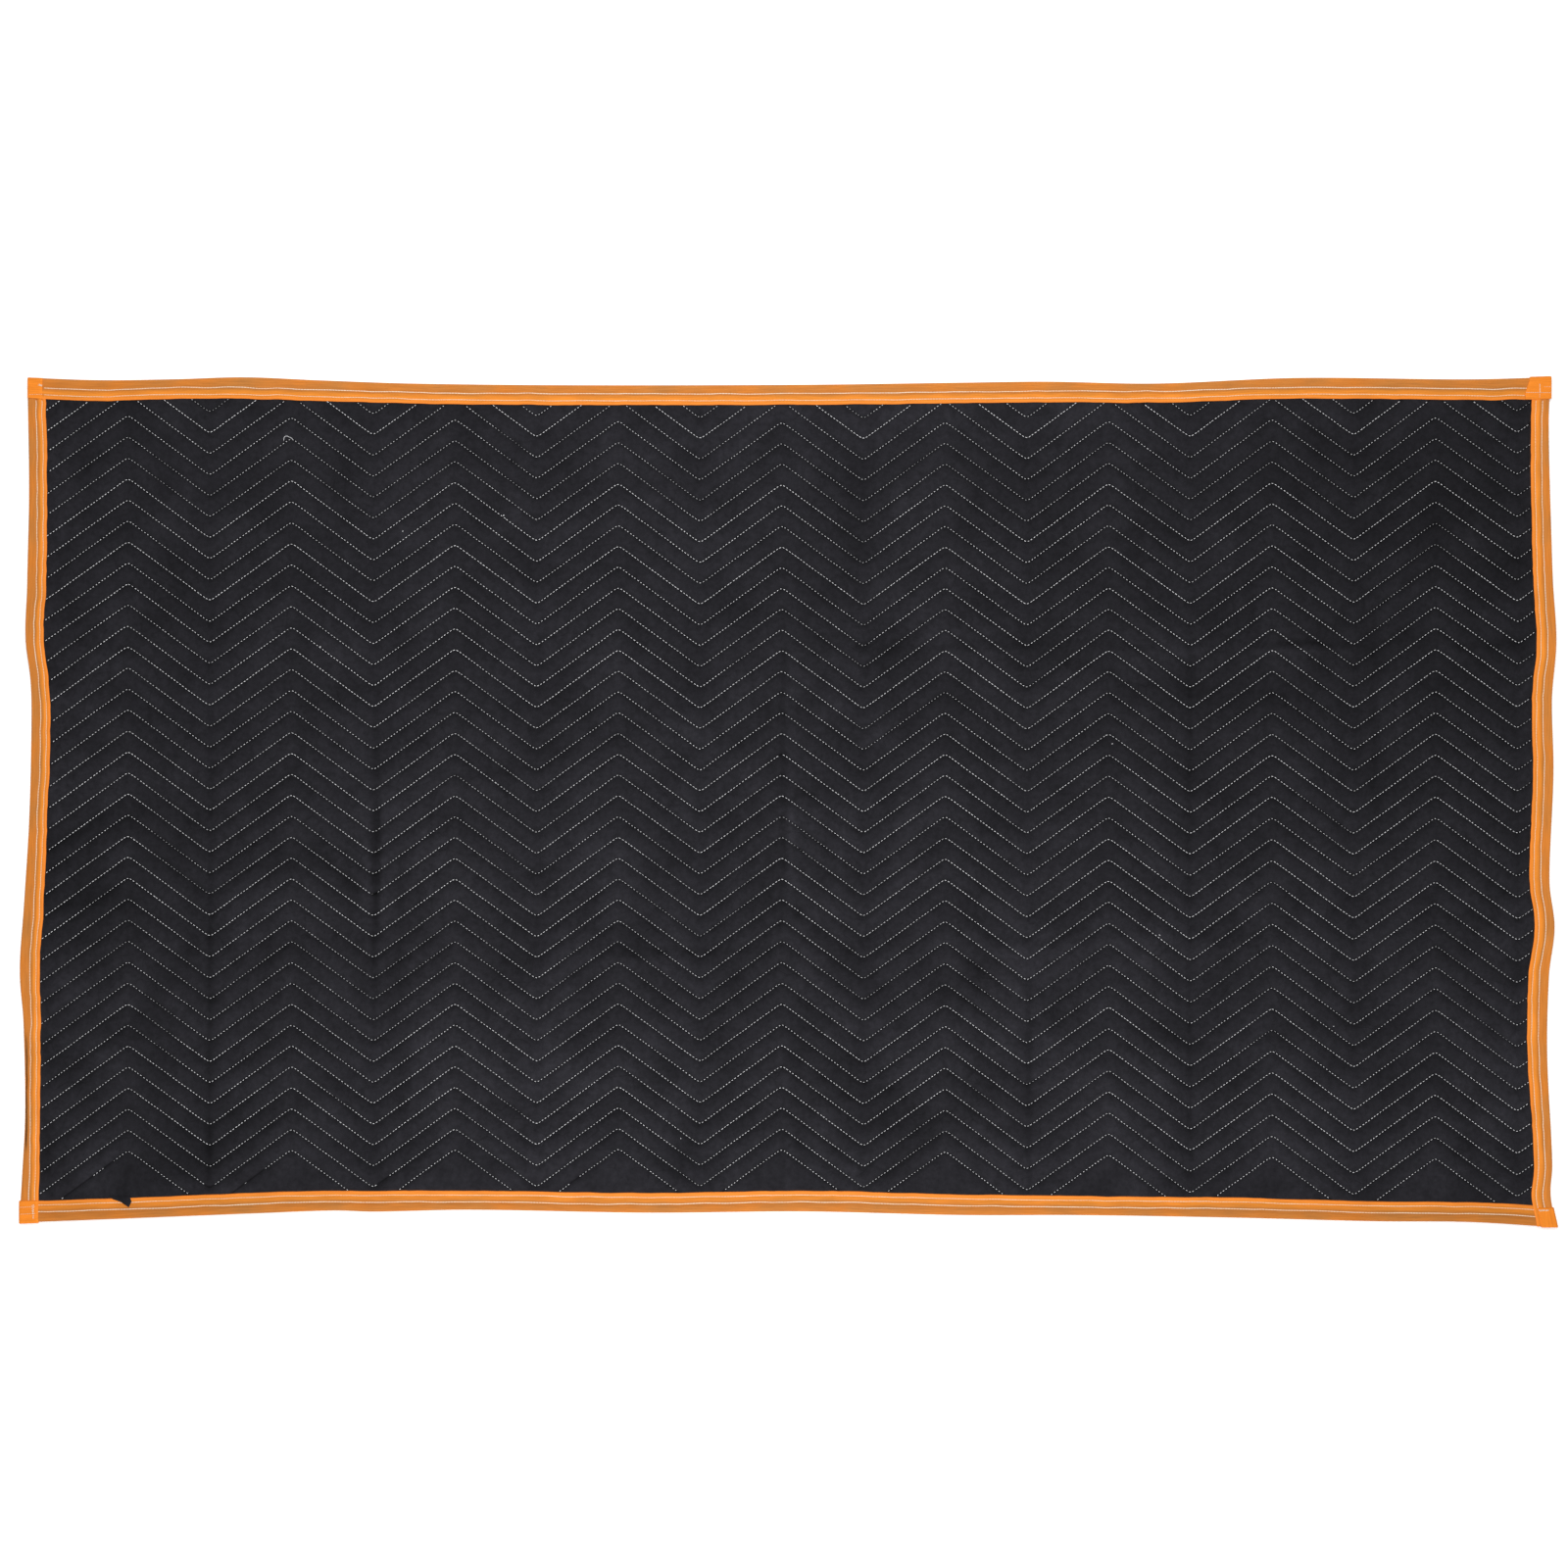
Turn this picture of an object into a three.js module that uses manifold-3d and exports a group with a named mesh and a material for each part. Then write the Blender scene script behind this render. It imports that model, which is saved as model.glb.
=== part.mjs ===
// A quilted moving pad lying flat on the floor: a black panel sewn in chevrons,
// with an orange tape folded over each of its four edges.
// Millimetres. X runs along the pad, Y across it and Z up. The floor is Z = 0.
import * as THREE from "three";
import { mergeVertices } from "three/addons/utils/BufferGeometryUtils.js";
import Module from "manifold-3d";

const wasm = await Module();
wasm.setup();

// Thicknesses, up from the floor
const CLEARANCE = 0.3;
const SEAM_HEIGHT = 2.6;
const CROWN_HEIGHT = 5.4;
const BORDER_CROWN_HEIGHT = 4.4;
const BORDER_FADE = 45;
const TAPE_THICK = 1;
const BOUND_HEIGHT = 4.6;
const FOLD_WALL = 1.6;
const NOSE_INSET = 0.9;
const NOSE_RISE = 1.5;
const TONGUE_REACH = 3;

// Chevron quilting. A line is numbered up the pad from the one nearest the middle.
const CHEVRON_HALF = 97.7;
const CHEVRON_RISE = 70.8;
const FIRST_PEAK = -789;
const LINES_TO_UPPER_GUIDE = 19;
const LINES_TO_LOWER_GUIDE = 17;
const HIGHEST_LINE = 22;
const LOWEST_SEWN_LINE = -17;
const LOWEST_LINE = -20;
const ROWS_PER_LINE = 2;

// Where three of the lines run, halfway up their chevrons, at places along the pad
const LINE_GUIDES = [
  { at: -900, upper: 453.5, middle: -23.8, lower: -452.5 },
  { at: -450, upper: 448.3, middle: -26.8, lower: -450.4 },
  { at: 0, upper: 444.0, middle: -26.6, lower: -450.0 },
  { at: 450, upper: 446.2, middle: -28.1, lower: -457.4 },
  { at: 900, upper: 452.0, middle: -28.3, lower: -462.5 },
];

// The four edges: how far out each one is, and how wide its tape shows, at places along it.
// The quilting has drawn the cloth in, and the old folds push it out again in places.
const TOP_EDGE = [
  { at: -920, out: 508, tape: 25 },
  { at: -824, out: 504.5, tape: 25 },
  { at: -730, out: 505.7, tape: 24 },
  { at: -650, out: 508, tape: 26 },
  { at: -560, out: 504.3, tape: 25 },
  { at: -450, out: 500.5, tape: 24 },
  { at: -262, out: 498.5, tape: 24 },
  { at: 19, out: 499, tape: 24 },
  { at: 206, out: 501.5, tape: 25 },
  { at: 310, out: 502.7, tape: 25 },
  { at: 440, out: 500.5, tape: 23 },
  { at: 610, out: 507.2, tape: 25 },
  { at: 815, out: 505.5, tape: 25 },
  { at: 925, out: 508.5, tape: 27 },
];
const BOTTOM_EDGE = [
  { at: -925, out: 503, tape: 26 },
  { at: -824, out: 499.3, tape: 25 },
  { at: -640, out: 492, tape: 25 },
  { at: -543, out: 488.5, tape: 24 },
  { at: -496, out: 489.8, tape: 25 },
  { at: -380, out: 487.6, tape: 23 },
  { at: -169, out: 491.1, tape: 24 },
  { at: 19, out: 489.6, tape: 25 },
  { at: 206, out: 493.9, tape: 25 },
  { at: 350, out: 494.0, tape: 23 },
  { at: 534, out: 497, tape: 24 },
  { at: 700, out: 501.2, tape: 24 },
  { at: 815, out: 502.2, tape: 24 },
  { at: 925, out: 509, tape: 25 },
];
const LEFT_EDGE = [
  { at: -510, out: 919.5, tape: 22 },
  { at: -452, out: 916, tape: 21 },
  { at: -370, out: 912, tape: 18 },
  { at: -264, out: 914, tape: 21 },
  { at: -205, out: 917.5, tape: 24 },
  { at: -133, out: 914, tape: 24 },
  { at: -21, out: 907.2, tape: 22 },
  { at: 90, out: 904.5, tape: 23 },
  { at: 148, out: 905.4, tape: 22 },
  { at: 195, out: 909.6, tape: 22 },
  { at: 260, out: 909.6, tape: 23 },
  { at: 373, out: 907.3, tape: 22 },
  { at: 510, out: 909.4, tape: 22 },
];
const RIGHT_EDGE = [
  { at: -510, out: 919.6, tape: 24 },
  { at: -470, out: 912, tape: 23 },
  { at: -433, out: 914, tape: 22 },
  { at: -301, out: 907.9, tape: 24 },
  { at: -208, out: 910, tape: 25 },
  { at: -150, out: 915.4, tape: 24 },
  { at: -96, out: 910.5, tape: 24 },
  { at: 36, out: 915.4, tape: 25 },
  { at: 120, out: 913.5, tape: 24 },
  { at: 195, out: 916.8, tape: 24 },
  { at: 298, out: 913.5, tape: 24 },
  { at: 448, out: 909.7, tape: 22 },
  { at: 510, out: 911.8, tape: 21 },
];

// Low swells where the pad was folded for storage: centre, reach each way, and height.
// Under them the whole pad stands clear of the floor.
const FOLD_SWELLS = [
  { x: -925, y: 195, reachX: 190, reachY: 70, height: 6 },
  { x: 925, y: 192, reachX: 230, reachY: 75, height: 6 },
  { x: 480, y: 186, reachX: 420, reachY: 65, height: 2.4 },
  { x: -925, y: -190, reachX: 150, reachY: 80, height: 3 },
  { x: 925, y: -146, reachX: 150, reachY: 65, height: 4 },
  { x: 400, y: -170, reachX: 230, reachY: 60, height: 2 },
  { x: -165, y: -178, reachX: 170, reachY: 60, height: 1.6 },
];

// Meshing
const GRID_COLUMN = CHEVRON_HALF / 2;
const COLUMNS_BEFORE_PEAK = 3;
const COLUMNS_AFTER_PEAK = 35;
const UNDERSIDE_ROW = 60;
const FINE_STOP = 17;
const FINE_STOPS_TO_A_STOP = 3;
const CORNER_PASSES = 4;
const SLOT_OVERRUN = 5;
const WELL_ABOVE = 40;
const WELL_BELOW = -20;
const WELL_OUTSIDE = 30;

const QUILT_CLOTH = new THREE.MeshStandardMaterial({
  color: 0x28272b,
  roughness: 0.95,
  metalness: 0,
});
const TAPE_CLOTH = new THREE.MeshStandardMaterial({
  color: 0xe8862a,
  roughness: 0.8,
  metalness: 0,
});

// A value of a table's column at one place, on a smooth curve through its rows.
function follow(table, column, place) {
  const last = table.length - 1;
  let i = 0;
  while (i < last - 1 && place > table[i + 1].at) i += 1;
  const slope = (row) => {
    const before = table[Math.max(row - 1, 0)];
    const after = table[Math.min(row + 1, last)];
    return (after[column] - before[column]) / (after.at - before.at);
  };
  const span = table[i + 1].at - table[i].at;
  const t = THREE.MathUtils.clamp((place - table[i].at) / span, 0, 1);
  const t2 = t * t;
  const t3 = t2 * t;
  return (
    (2 * t3 - 3 * t2 + 1) * table[i][column] +
    (t3 - 2 * t2 + t) * span * slope(i) +
    (3 * t2 - 2 * t3) * table[i + 1][column] +
    (t3 - t2) * span * slope(i + 1)
  );
}

function evenly(from, to, step) {
  const count = Math.max(1, Math.round((to - from) / step));
  return Array.from({ length: count + 1 }, (_, i) => from + ((to - from) * i) / count);
}

// How high the old folds hold the pad off the floor.
function swell(x, y) {
  let height = 0;
  for (const fold of FOLD_SWELLS) {
    const away = Math.hypot((x - fold.x) / fold.reachX, (y - fold.y) / fold.reachY);
    if (away < 1) height += fold.height * Math.cos((away * Math.PI) / 2) ** 2;
  }
  return height;
}

// A side of the pad, straight between its stops. place() turns a distance along it, a depth
// inwards from its edge and a height above the resting face into a point of the pad.
function side(table, lengthwise, outward) {
  const point = (at, across) => (lengthwise ? [at, across] : [across, at]);
  const measure = (at) => {
    const edge = outward * follow(table, "out", at);
    const tape = follow(table, "tape", at);
    return { at, edge, tape, lift: swell(...point(at, edge - (outward * tape) / 2)) };
  };
  const fine = evenly(table[0].at, table.at(-1).at, FINE_STOP).map(measure);
  const raised = (i) => fine[i].lift > 0;
  const stops = fine.filter(
    (_, i) =>
      i % FINE_STOPS_TO_A_STOP === 0 ||
      i === fine.length - 1 ||
      raised(i - 1) ||
      raised(i) ||
      raised(i + 1),
  );
  const value = (key, at) => {
    const next = stops.findIndex((stop, i) => i > 0 && (stop.at >= at || i === stops.length - 1));
    const [a, b] = [stops[next - 1], stops[next]];
    return THREE.MathUtils.mapLinear(at, a.at, b.at, a[key], b[key]);
  };
  return {
    edge: (at) => value("edge", at),
    tape: (at) => value("tape", at),
    inner: (at) => value("edge", at) - outward * value("tape", at),
    place: (at, depth, height) => [
      ...point(at, value("edge", at) - outward * depth),
      height + value("lift", at),
    ],
    between: (from, to) => [
      from,
      ...stops.map((stop) => stop.at).filter((at) => at > from + 1 && at < to - 1),
      to,
    ],
  };
}

const top = side(TOP_EDGE, true, 1);
const bottom = side(BOTTOM_EDGE, true, -1);
const left = side(LEFT_EDGE, false, -1);
const right = side(RIGHT_EDGE, false, 1);

// A closed body from points and triangles, whichever way round they were listed.
function body(points, triangles) {
  let volume = 0;
  const [a, b, c] = [new THREE.Vector3(), new THREE.Vector3(), new THREE.Vector3()];
  for (const [i, j, k] of triangles) {
    a.fromArray(points[i]);
    b.fromArray(points[j]);
    c.fromArray(points[k]);
    volume += a.dot(b.cross(c));
  }
  const facingOut = volume > 0 ? triangles : triangles.map(([i, j, k]) => [i, k, j]);
  return new wasm.Manifold(
    new wasm.Mesh({
      numProp: 3,
      vertProperties: new Float32Array(points.flat()),
      triVerts: new Uint32Array(facingOut.flat()),
    }),
  );
}

// A body swept through rings of points, all with the same number of points and
// each ring round a shape with no hollows.
function swept(rings) {
  const count = rings[0].length;
  const triangles = [];
  for (let r = 0; r < rings.length - 1; r += 1) {
    for (let i = 0; i < count; i += 1) {
      const next = (i + 1) % count;
      const [p, q] = [r * count + i, r * count + next];
      triangles.push([p, q, q + count], [p, q + count, p + count]);
    }
  }
  const end = (rings.length - 1) * count;
  for (let i = 1; i < count - 1; i += 1) {
    triangles.push([0, i + 1, i], [end, end + i, end + i + 1]);
  }
  return body(rings.flat(), triangles);
}

// A body between an upper and a lower face over a grid of rows and columns.
function layered(rows, columns, upper, lower) {
  const points = [];
  for (const face of [upper, lower]) {
    for (const row of rows) {
      for (const column of columns) points.push(face(row, column));
    }
  }
  const wide = columns.length;
  const layer = rows.length * wide;
  const triangles = [];
  const quad = (a, b, c, d) => triangles.push([a, b, c], [a, c, d]);
  for (let r = 0; r < rows.length - 1; r += 1) {
    for (let c = 0; c < wide - 1; c += 1) {
      const a = r * wide + c;
      quad(a, a + 1, a + 1 + wide, a + wide);
      quad(layer + a + wide, layer + a + 1 + wide, layer + a + 1, layer + a);
    }
  }
  for (let c = 0; c < wide - 1; c += 1) {
    const far = (rows.length - 1) * wide + c;
    quad(layer + c, layer + c + 1, c + 1, c);
    quad(far, far + 1, layer + far + 1, layer + far);
  }
  for (let r = 0; r < rows.length - 1; r += 1) {
    const a = r * wide;
    const z = a + wide - 1;
    quad(a, a + wide, layer + a + wide, layer + a);
    quad(layer + z, layer + z + wide, z + wide, z);
  }
  return body(points, triangles);
}

// Height of the chevrons above or below the line's own height, at a place along the pad.
function zigzag(x) {
  const phase = (x - FIRST_PEAK) / CHEVRON_HALF;
  const fromPeak = Math.abs(phase - 2 * Math.round(phase / 2));
  return CHEVRON_RISE * (0.5 - fromPeak);
}

function lineY(line, x) {
  const middle = follow(LINE_GUIDES, "middle", x);
  const upper = follow(LINE_GUIDES, "upper", x);
  const lower = follow(LINE_GUIDES, "lower", x);
  const pitch = line > 0 ? (upper - middle) / LINES_TO_UPPER_GUIDE : (middle - lower) / LINES_TO_LOWER_GUIDE;
  return middle + line * pitch + zigzag(x);
}

// Distance from a point inwards to the nearest inner edge of the tapes.
function insideTapes(x, y) {
  return Math.min(
    top.inner(x) - y,
    y - bottom.inner(x),
    x - left.inner(y),
    right.inner(y) - x,
  );
}

function crown(x, y) {
  const inwards = THREE.MathUtils.smoothstep(insideTapes(x, y), 0, BORDER_FADE);
  return THREE.MathUtils.lerp(BORDER_CROWN_HEIGHT, CROWN_HEIGHT, inwards);
}

// Where a short side meets a long one, both pulled in by a depth.
function corner(upright, level, depth) {
  let [x, y] = [upright.edge(0), level.edge(0)];
  for (let pass = 0; pass < CORNER_PASSES; pass += 1) {
    x = upright.place(y, depth(upright, y), 0)[0];
    y = level.place(x, depth(level, x), 0)[1];
  }
  return { x, y };
}

// An upright block within the pad's outline, pulled in by a depth that may differ along each side.
function within(depth) {
  const walk = (which, from, to) =>
    which
      .between(from, to)
      .slice(1, -1)
      .map((at) => which.place(at, depth(which, at), 0));
  const lowLeft = corner(left, bottom, depth);
  const lowRight = corner(right, bottom, depth);
  const highRight = corner(right, top, depth);
  const highLeft = corner(left, top, depth);
  const outline = [
    [lowLeft.x, lowLeft.y],
    ...walk(bottom, lowLeft.x, lowRight.x),
    [lowRight.x, lowRight.y],
    ...walk(right, lowRight.y, highRight.y),
    [highRight.x, highRight.y],
    ...walk(top, highLeft.x, highRight.x).reverse(),
    [highLeft.x, highLeft.y],
    ...walk(left, lowLeft.y, highLeft.y).reverse(),
  ];
  const shape = new THREE.Shape(outline.map(([x, y]) => new THREE.Vector2(x, y)));
  const block = new THREE.ExtrudeGeometry(shape, {
    depth: WELL_ABOVE - WELL_BELOW,
    bevelEnabled: false,
  });
  block.translate(0, 0, WELL_BELOW);
  block.deleteAttribute("normal");
  block.deleteAttribute("uv");
  const merged = mergeVertices(block);
  const points = Array.from({ length: merged.attributes.position.count }, (_, i) =>
    new THREE.Vector3().fromBufferAttribute(merged.attributes.position, i).toArray(),
  );
  const triangles = Array.from({ length: merged.index.count / 3 }, (_, i) => [
    merged.index.getX(3 * i),
    merged.index.getX(3 * i + 1),
    merged.index.getX(3 * i + 2),
  ]);
  return body(points, triangles);
}

// A ribbon along a side between two heights, from a depth to another.
function ribbon(which, from, to, outer, inner, low, high) {
  return swept(
    which.between(from, to).map((at) => {
      const reach = which.tape(at) + inner;
      return [
        which.place(at, reach, low),
        which.place(at, outer, low),
        which.place(at, outer, high),
        which.place(at, reach, high),
      ];
    }),
  );
}

// The tape's outside, folded round the pad's edge.
function tapeOutside(which, from, to) {
  return swept(
    which.between(from, to).map((at) => {
      const width = which.tape(at);
      return [
        which.place(at, width, 0),
        which.place(at, NOSE_INSET, 0),
        which.place(at, 0, NOSE_RISE),
        which.place(at, 0, BOUND_HEIGHT - NOSE_RISE),
        which.place(at, NOSE_INSET, BOUND_HEIGHT),
        which.place(at, width, BOUND_HEIGHT),
      ];
    }),
  );
}

function binding(which, from, to) {
  const slot = ribbon(
    which,
    from - SLOT_OVERRUN,
    to + SLOT_OVERRUN,
    -SLOT_OVERRUN,
    SLOT_OVERRUN,
    TAPE_THICK,
    BOUND_HEIGHT - TAPE_THICK,
  );
  return tapeOutside(which, from, to)
    .intersect(within(() => 0))
    .subtract(slot.intersect(within(() => FOLD_WALL)));
}

// The quilted body between the tapes: chevron channels above, a plain face below.
// Under the lowest sewn line the cloth is left loose as far as the tape.
function quilting() {
  const rows = evenly(LOWEST_LINE, HIGHEST_LINE, 1 / ROWS_PER_LINE);
  const columns = evenly(
    FIRST_PEAK - COLUMNS_BEFORE_PEAK * GRID_COLUMN,
    FIRST_PEAK + COLUMNS_AFTER_PEAK * GRID_COLUMN,
    GRID_COLUMN,
  );
  const channels = layered(
    rows,
    columns,
    (line, x) => {
      const y = lineY(line, x);
      const sewn = Number.isInteger(line) && line >= LOWEST_SEWN_LINE;
      const height = sewn ? SEAM_HEIGHT : crown(x, y);
      return [x, y, height + swell(x, y)];
    },
    (line, x) => [x, lineY(line, x), WELL_BELOW],
  );
  const underside = layered(
    evenly(bottom.edge(0) - WELL_OUTSIDE, top.edge(0) + WELL_OUTSIDE, UNDERSIDE_ROW),
    columns,
    (y, x) => [x, y, WELL_ABOVE],
    (y, x) => [x, y, swell(x, y)],
  );
  return channels
    .intersect(underside)
    .intersect(within((which, at) => which.tape(at) + CLEARANCE));
}

// The pad's pressed edge, which runs on into the fold of each tape.
function pressedEdge() {
  const low = TAPE_THICK + CLEARANCE;
  const high = BOUND_HEIGHT - TAPE_THICK - CLEARANCE;
  const along = (which, from, to) =>
    ribbon(which, from, to, -SLOT_OVERRUN, TONGUE_REACH, low, high);
  return along(top, left.edge(0), right.edge(0))
    .add(along(bottom, left.edge(0), right.edge(0)))
    .add(along(left, bottom.edge(0), top.edge(0)))
    .add(along(right, bottom.edge(0), top.edge(0)))
    .intersect(within(() => FOLD_WALL + CLEARANCE));
}

function mesh(name, solid, cloth) {
  const { vertProperties, triVerts, numProp } = solid.getMesh();
  const geometry = new THREE.BufferGeometry();
  geometry.setAttribute("position", new THREE.BufferAttribute(vertProperties, numProp));
  geometry.setIndex(new THREE.BufferAttribute(triVerts, 1));
  geometry.computeVertexNormals();
  const made = new THREE.Mesh(geometry, cloth);
  made.name = name;
  return made;
}

// Where a tape stops to run under its neighbour: just short of the neighbour's inner edge,
// over the tape's own width from a point of its outer edge.
function under(neighbour, which, at) {
  const edges = [neighbour.inner(which.edge(at)), neighbour.inner(which.inner(at))];
  const middle = neighbour.inner(0);
  return middle > 0 ? Math.min(...edges) - CLEARANCE : Math.max(...edges) + CLEARANCE;
}

const outer = () => 0;
const topLeft = corner(left, top, outer);
const topRight = corner(right, top, outer);
const bottomLeft = corner(left, bottom, outer);
const bottomRight = corner(right, bottom, outer);

const pad = new THREE.Group();
const add = (name, solid, cloth) => pad.add(mesh(name, solid, cloth));
add("quilted_panel", quilting().add(pressedEdge()), QUILT_CLOTH);
add(
  "binding_top",
  binding(top, topLeft.x - SLOT_OVERRUN, topRight.x + SLOT_OVERRUN),
  TAPE_CLOTH,
);
add(
  "binding_bottom",
  binding(bottom, bottomLeft.x - SLOT_OVERRUN, under(right, bottom, bottomRight.x)),
  TAPE_CLOTH,
);
add(
  "binding_left",
  binding(left, under(bottom, left, bottomLeft.y), under(top, left, topLeft.y)),
  TAPE_CLOTH,
);
add(
  "binding_right",
  binding(right, bottomRight.y - SLOT_OVERRUN, under(top, right, topRight.y)),
  TAPE_CLOTH,
);

// The origin is under the middle of the whole pad, on the floor.
const box = new THREE.Box3().setFromObject(pad);
const middle = box.getCenter(new THREE.Vector3());
pad.position.set(-middle.x, -middle.y, -box.min.z);

export default pad;
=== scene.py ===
import math

import bpy
import numpy as np
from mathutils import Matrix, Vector


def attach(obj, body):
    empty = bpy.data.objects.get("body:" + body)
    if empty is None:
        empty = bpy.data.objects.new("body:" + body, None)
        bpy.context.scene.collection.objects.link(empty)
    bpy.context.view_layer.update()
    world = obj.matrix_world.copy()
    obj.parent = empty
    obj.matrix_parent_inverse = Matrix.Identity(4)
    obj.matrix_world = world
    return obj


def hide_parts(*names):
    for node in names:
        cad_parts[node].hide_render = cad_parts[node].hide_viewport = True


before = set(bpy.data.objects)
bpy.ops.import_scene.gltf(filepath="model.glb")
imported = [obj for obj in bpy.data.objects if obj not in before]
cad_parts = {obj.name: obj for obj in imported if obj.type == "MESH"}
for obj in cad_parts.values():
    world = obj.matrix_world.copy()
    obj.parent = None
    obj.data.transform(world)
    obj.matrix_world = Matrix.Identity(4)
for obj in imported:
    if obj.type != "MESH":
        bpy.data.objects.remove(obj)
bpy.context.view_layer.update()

MM = 0.001


def table(columns, *rows):
    """A small table as one array for each named column."""
    return dict(zip(columns, np.array(rows, float).T))


def rows_of(columns):
    """The rows of a table, one after another."""
    return zip(*columns.values())


# Thicknesses of the pad
SEAM_HEIGHT = 2.6
CROWN_HEIGHT = 5.4
TUCKED_HEIGHT = 3.2
TUCKED_UNDERSIDE = 1.4
TUCK_REACH = 9.0
UNDERSIDE_SEAM = 0.9
FOLD_WALL = 1.6

# Chevron quilting
CHEVRON_HALF = 97.7
CHEVRON_RISE = 70.8
FIRST_PEAK = -789.0
TURN_SOFTNESS = 0.02
LINES_TO_UPPER_GUIDE = 19
LINES_TO_LOWER_GUIDE = 17
HIGHEST_LINE = 22
LOWEST_SEWN_LINE = -17
LOWEST_LINE = -20
STITCH_PITCH = 4.25

LINE_GUIDES = table(
    ("at", "upper", "middle", "lower"),
    (-900, 453.5, -23.8, -452.5),
    (-450, 448.3, -26.8, -450.4),
    (0, 444.0, -26.6, -450.0),
    (450, 446.2, -28.1, -457.4),
    (900, 452.0, -28.3, -462.5),
)

# The four edges: how far out each one is, and how wide its tape shows, at places along it
EDGE = ("at", "out", "tape")
TOP_EDGE = table(
    EDGE,
    (-920, 508, 25), (-824, 504.5, 25), (-730, 505.7, 24), (-650, 508, 26),
    (-560, 504.3, 25), (-450, 500.5, 24), (-262, 498.5, 24), (19, 499, 24),
    (206, 501.5, 25), (310, 502.7, 25), (440, 500.5, 23), (610, 507.2, 25),
    (815, 505.5, 25), (925, 508.5, 27),
)
BOTTOM_EDGE = table(
    EDGE,
    (-925, 503, 26), (-824, 499.3, 25), (-640, 492, 25), (-543, 488.5, 24),
    (-496, 489.8, 25), (-380, 487.6, 23), (-169, 491.1, 24), (19, 489.6, 25),
    (206, 493.9, 25), (350, 494.0, 23), (534, 497, 24), (700, 501.2, 24),
    (815, 502.2, 24), (925, 509, 25),
)
LEFT_EDGE = table(
    EDGE,
    (-510, 919.5, 22), (-452, 916, 21), (-370, 912, 18), (-264, 914, 21),
    (-205, 917.5, 24), (-133, 914, 24), (-21, 907.2, 22), (90, 904.5, 23),
    (148, 905.4, 22), (195, 909.6, 22), (260, 909.6, 23), (373, 907.3, 22),
    (510, 909.4, 22),
)
RIGHT_EDGE = table(
    EDGE,
    (-510, 919.6, 24), (-470, 912, 23), (-433, 914, 22), (-301, 907.9, 24),
    (-208, 910, 25), (-150, 915.4, 24), (-96, 910.5, 24), (36, 915.4, 25),
    (120, 913.5, 24), (195, 916.8, 24), (298, 913.5, 24), (448, 909.7, 22),
    (510, 911.8, 21),
)

# Low swells where the pad was folded for storage
FOLD_SWELLS = table(
    ("x", "y", "reach_x", "reach_y", "height"),
    (-925, 195, 190, 70, 6), (925, 192, 230, 75, 6), (480, 186, 420, 65, 2.4),
    (-925, -190, 150, 80, 3), (925, -146, 150, 65, 4), (400, -170, 230, 60, 2),
    (-165, -178, 170, 60, 1.6),
)

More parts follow.
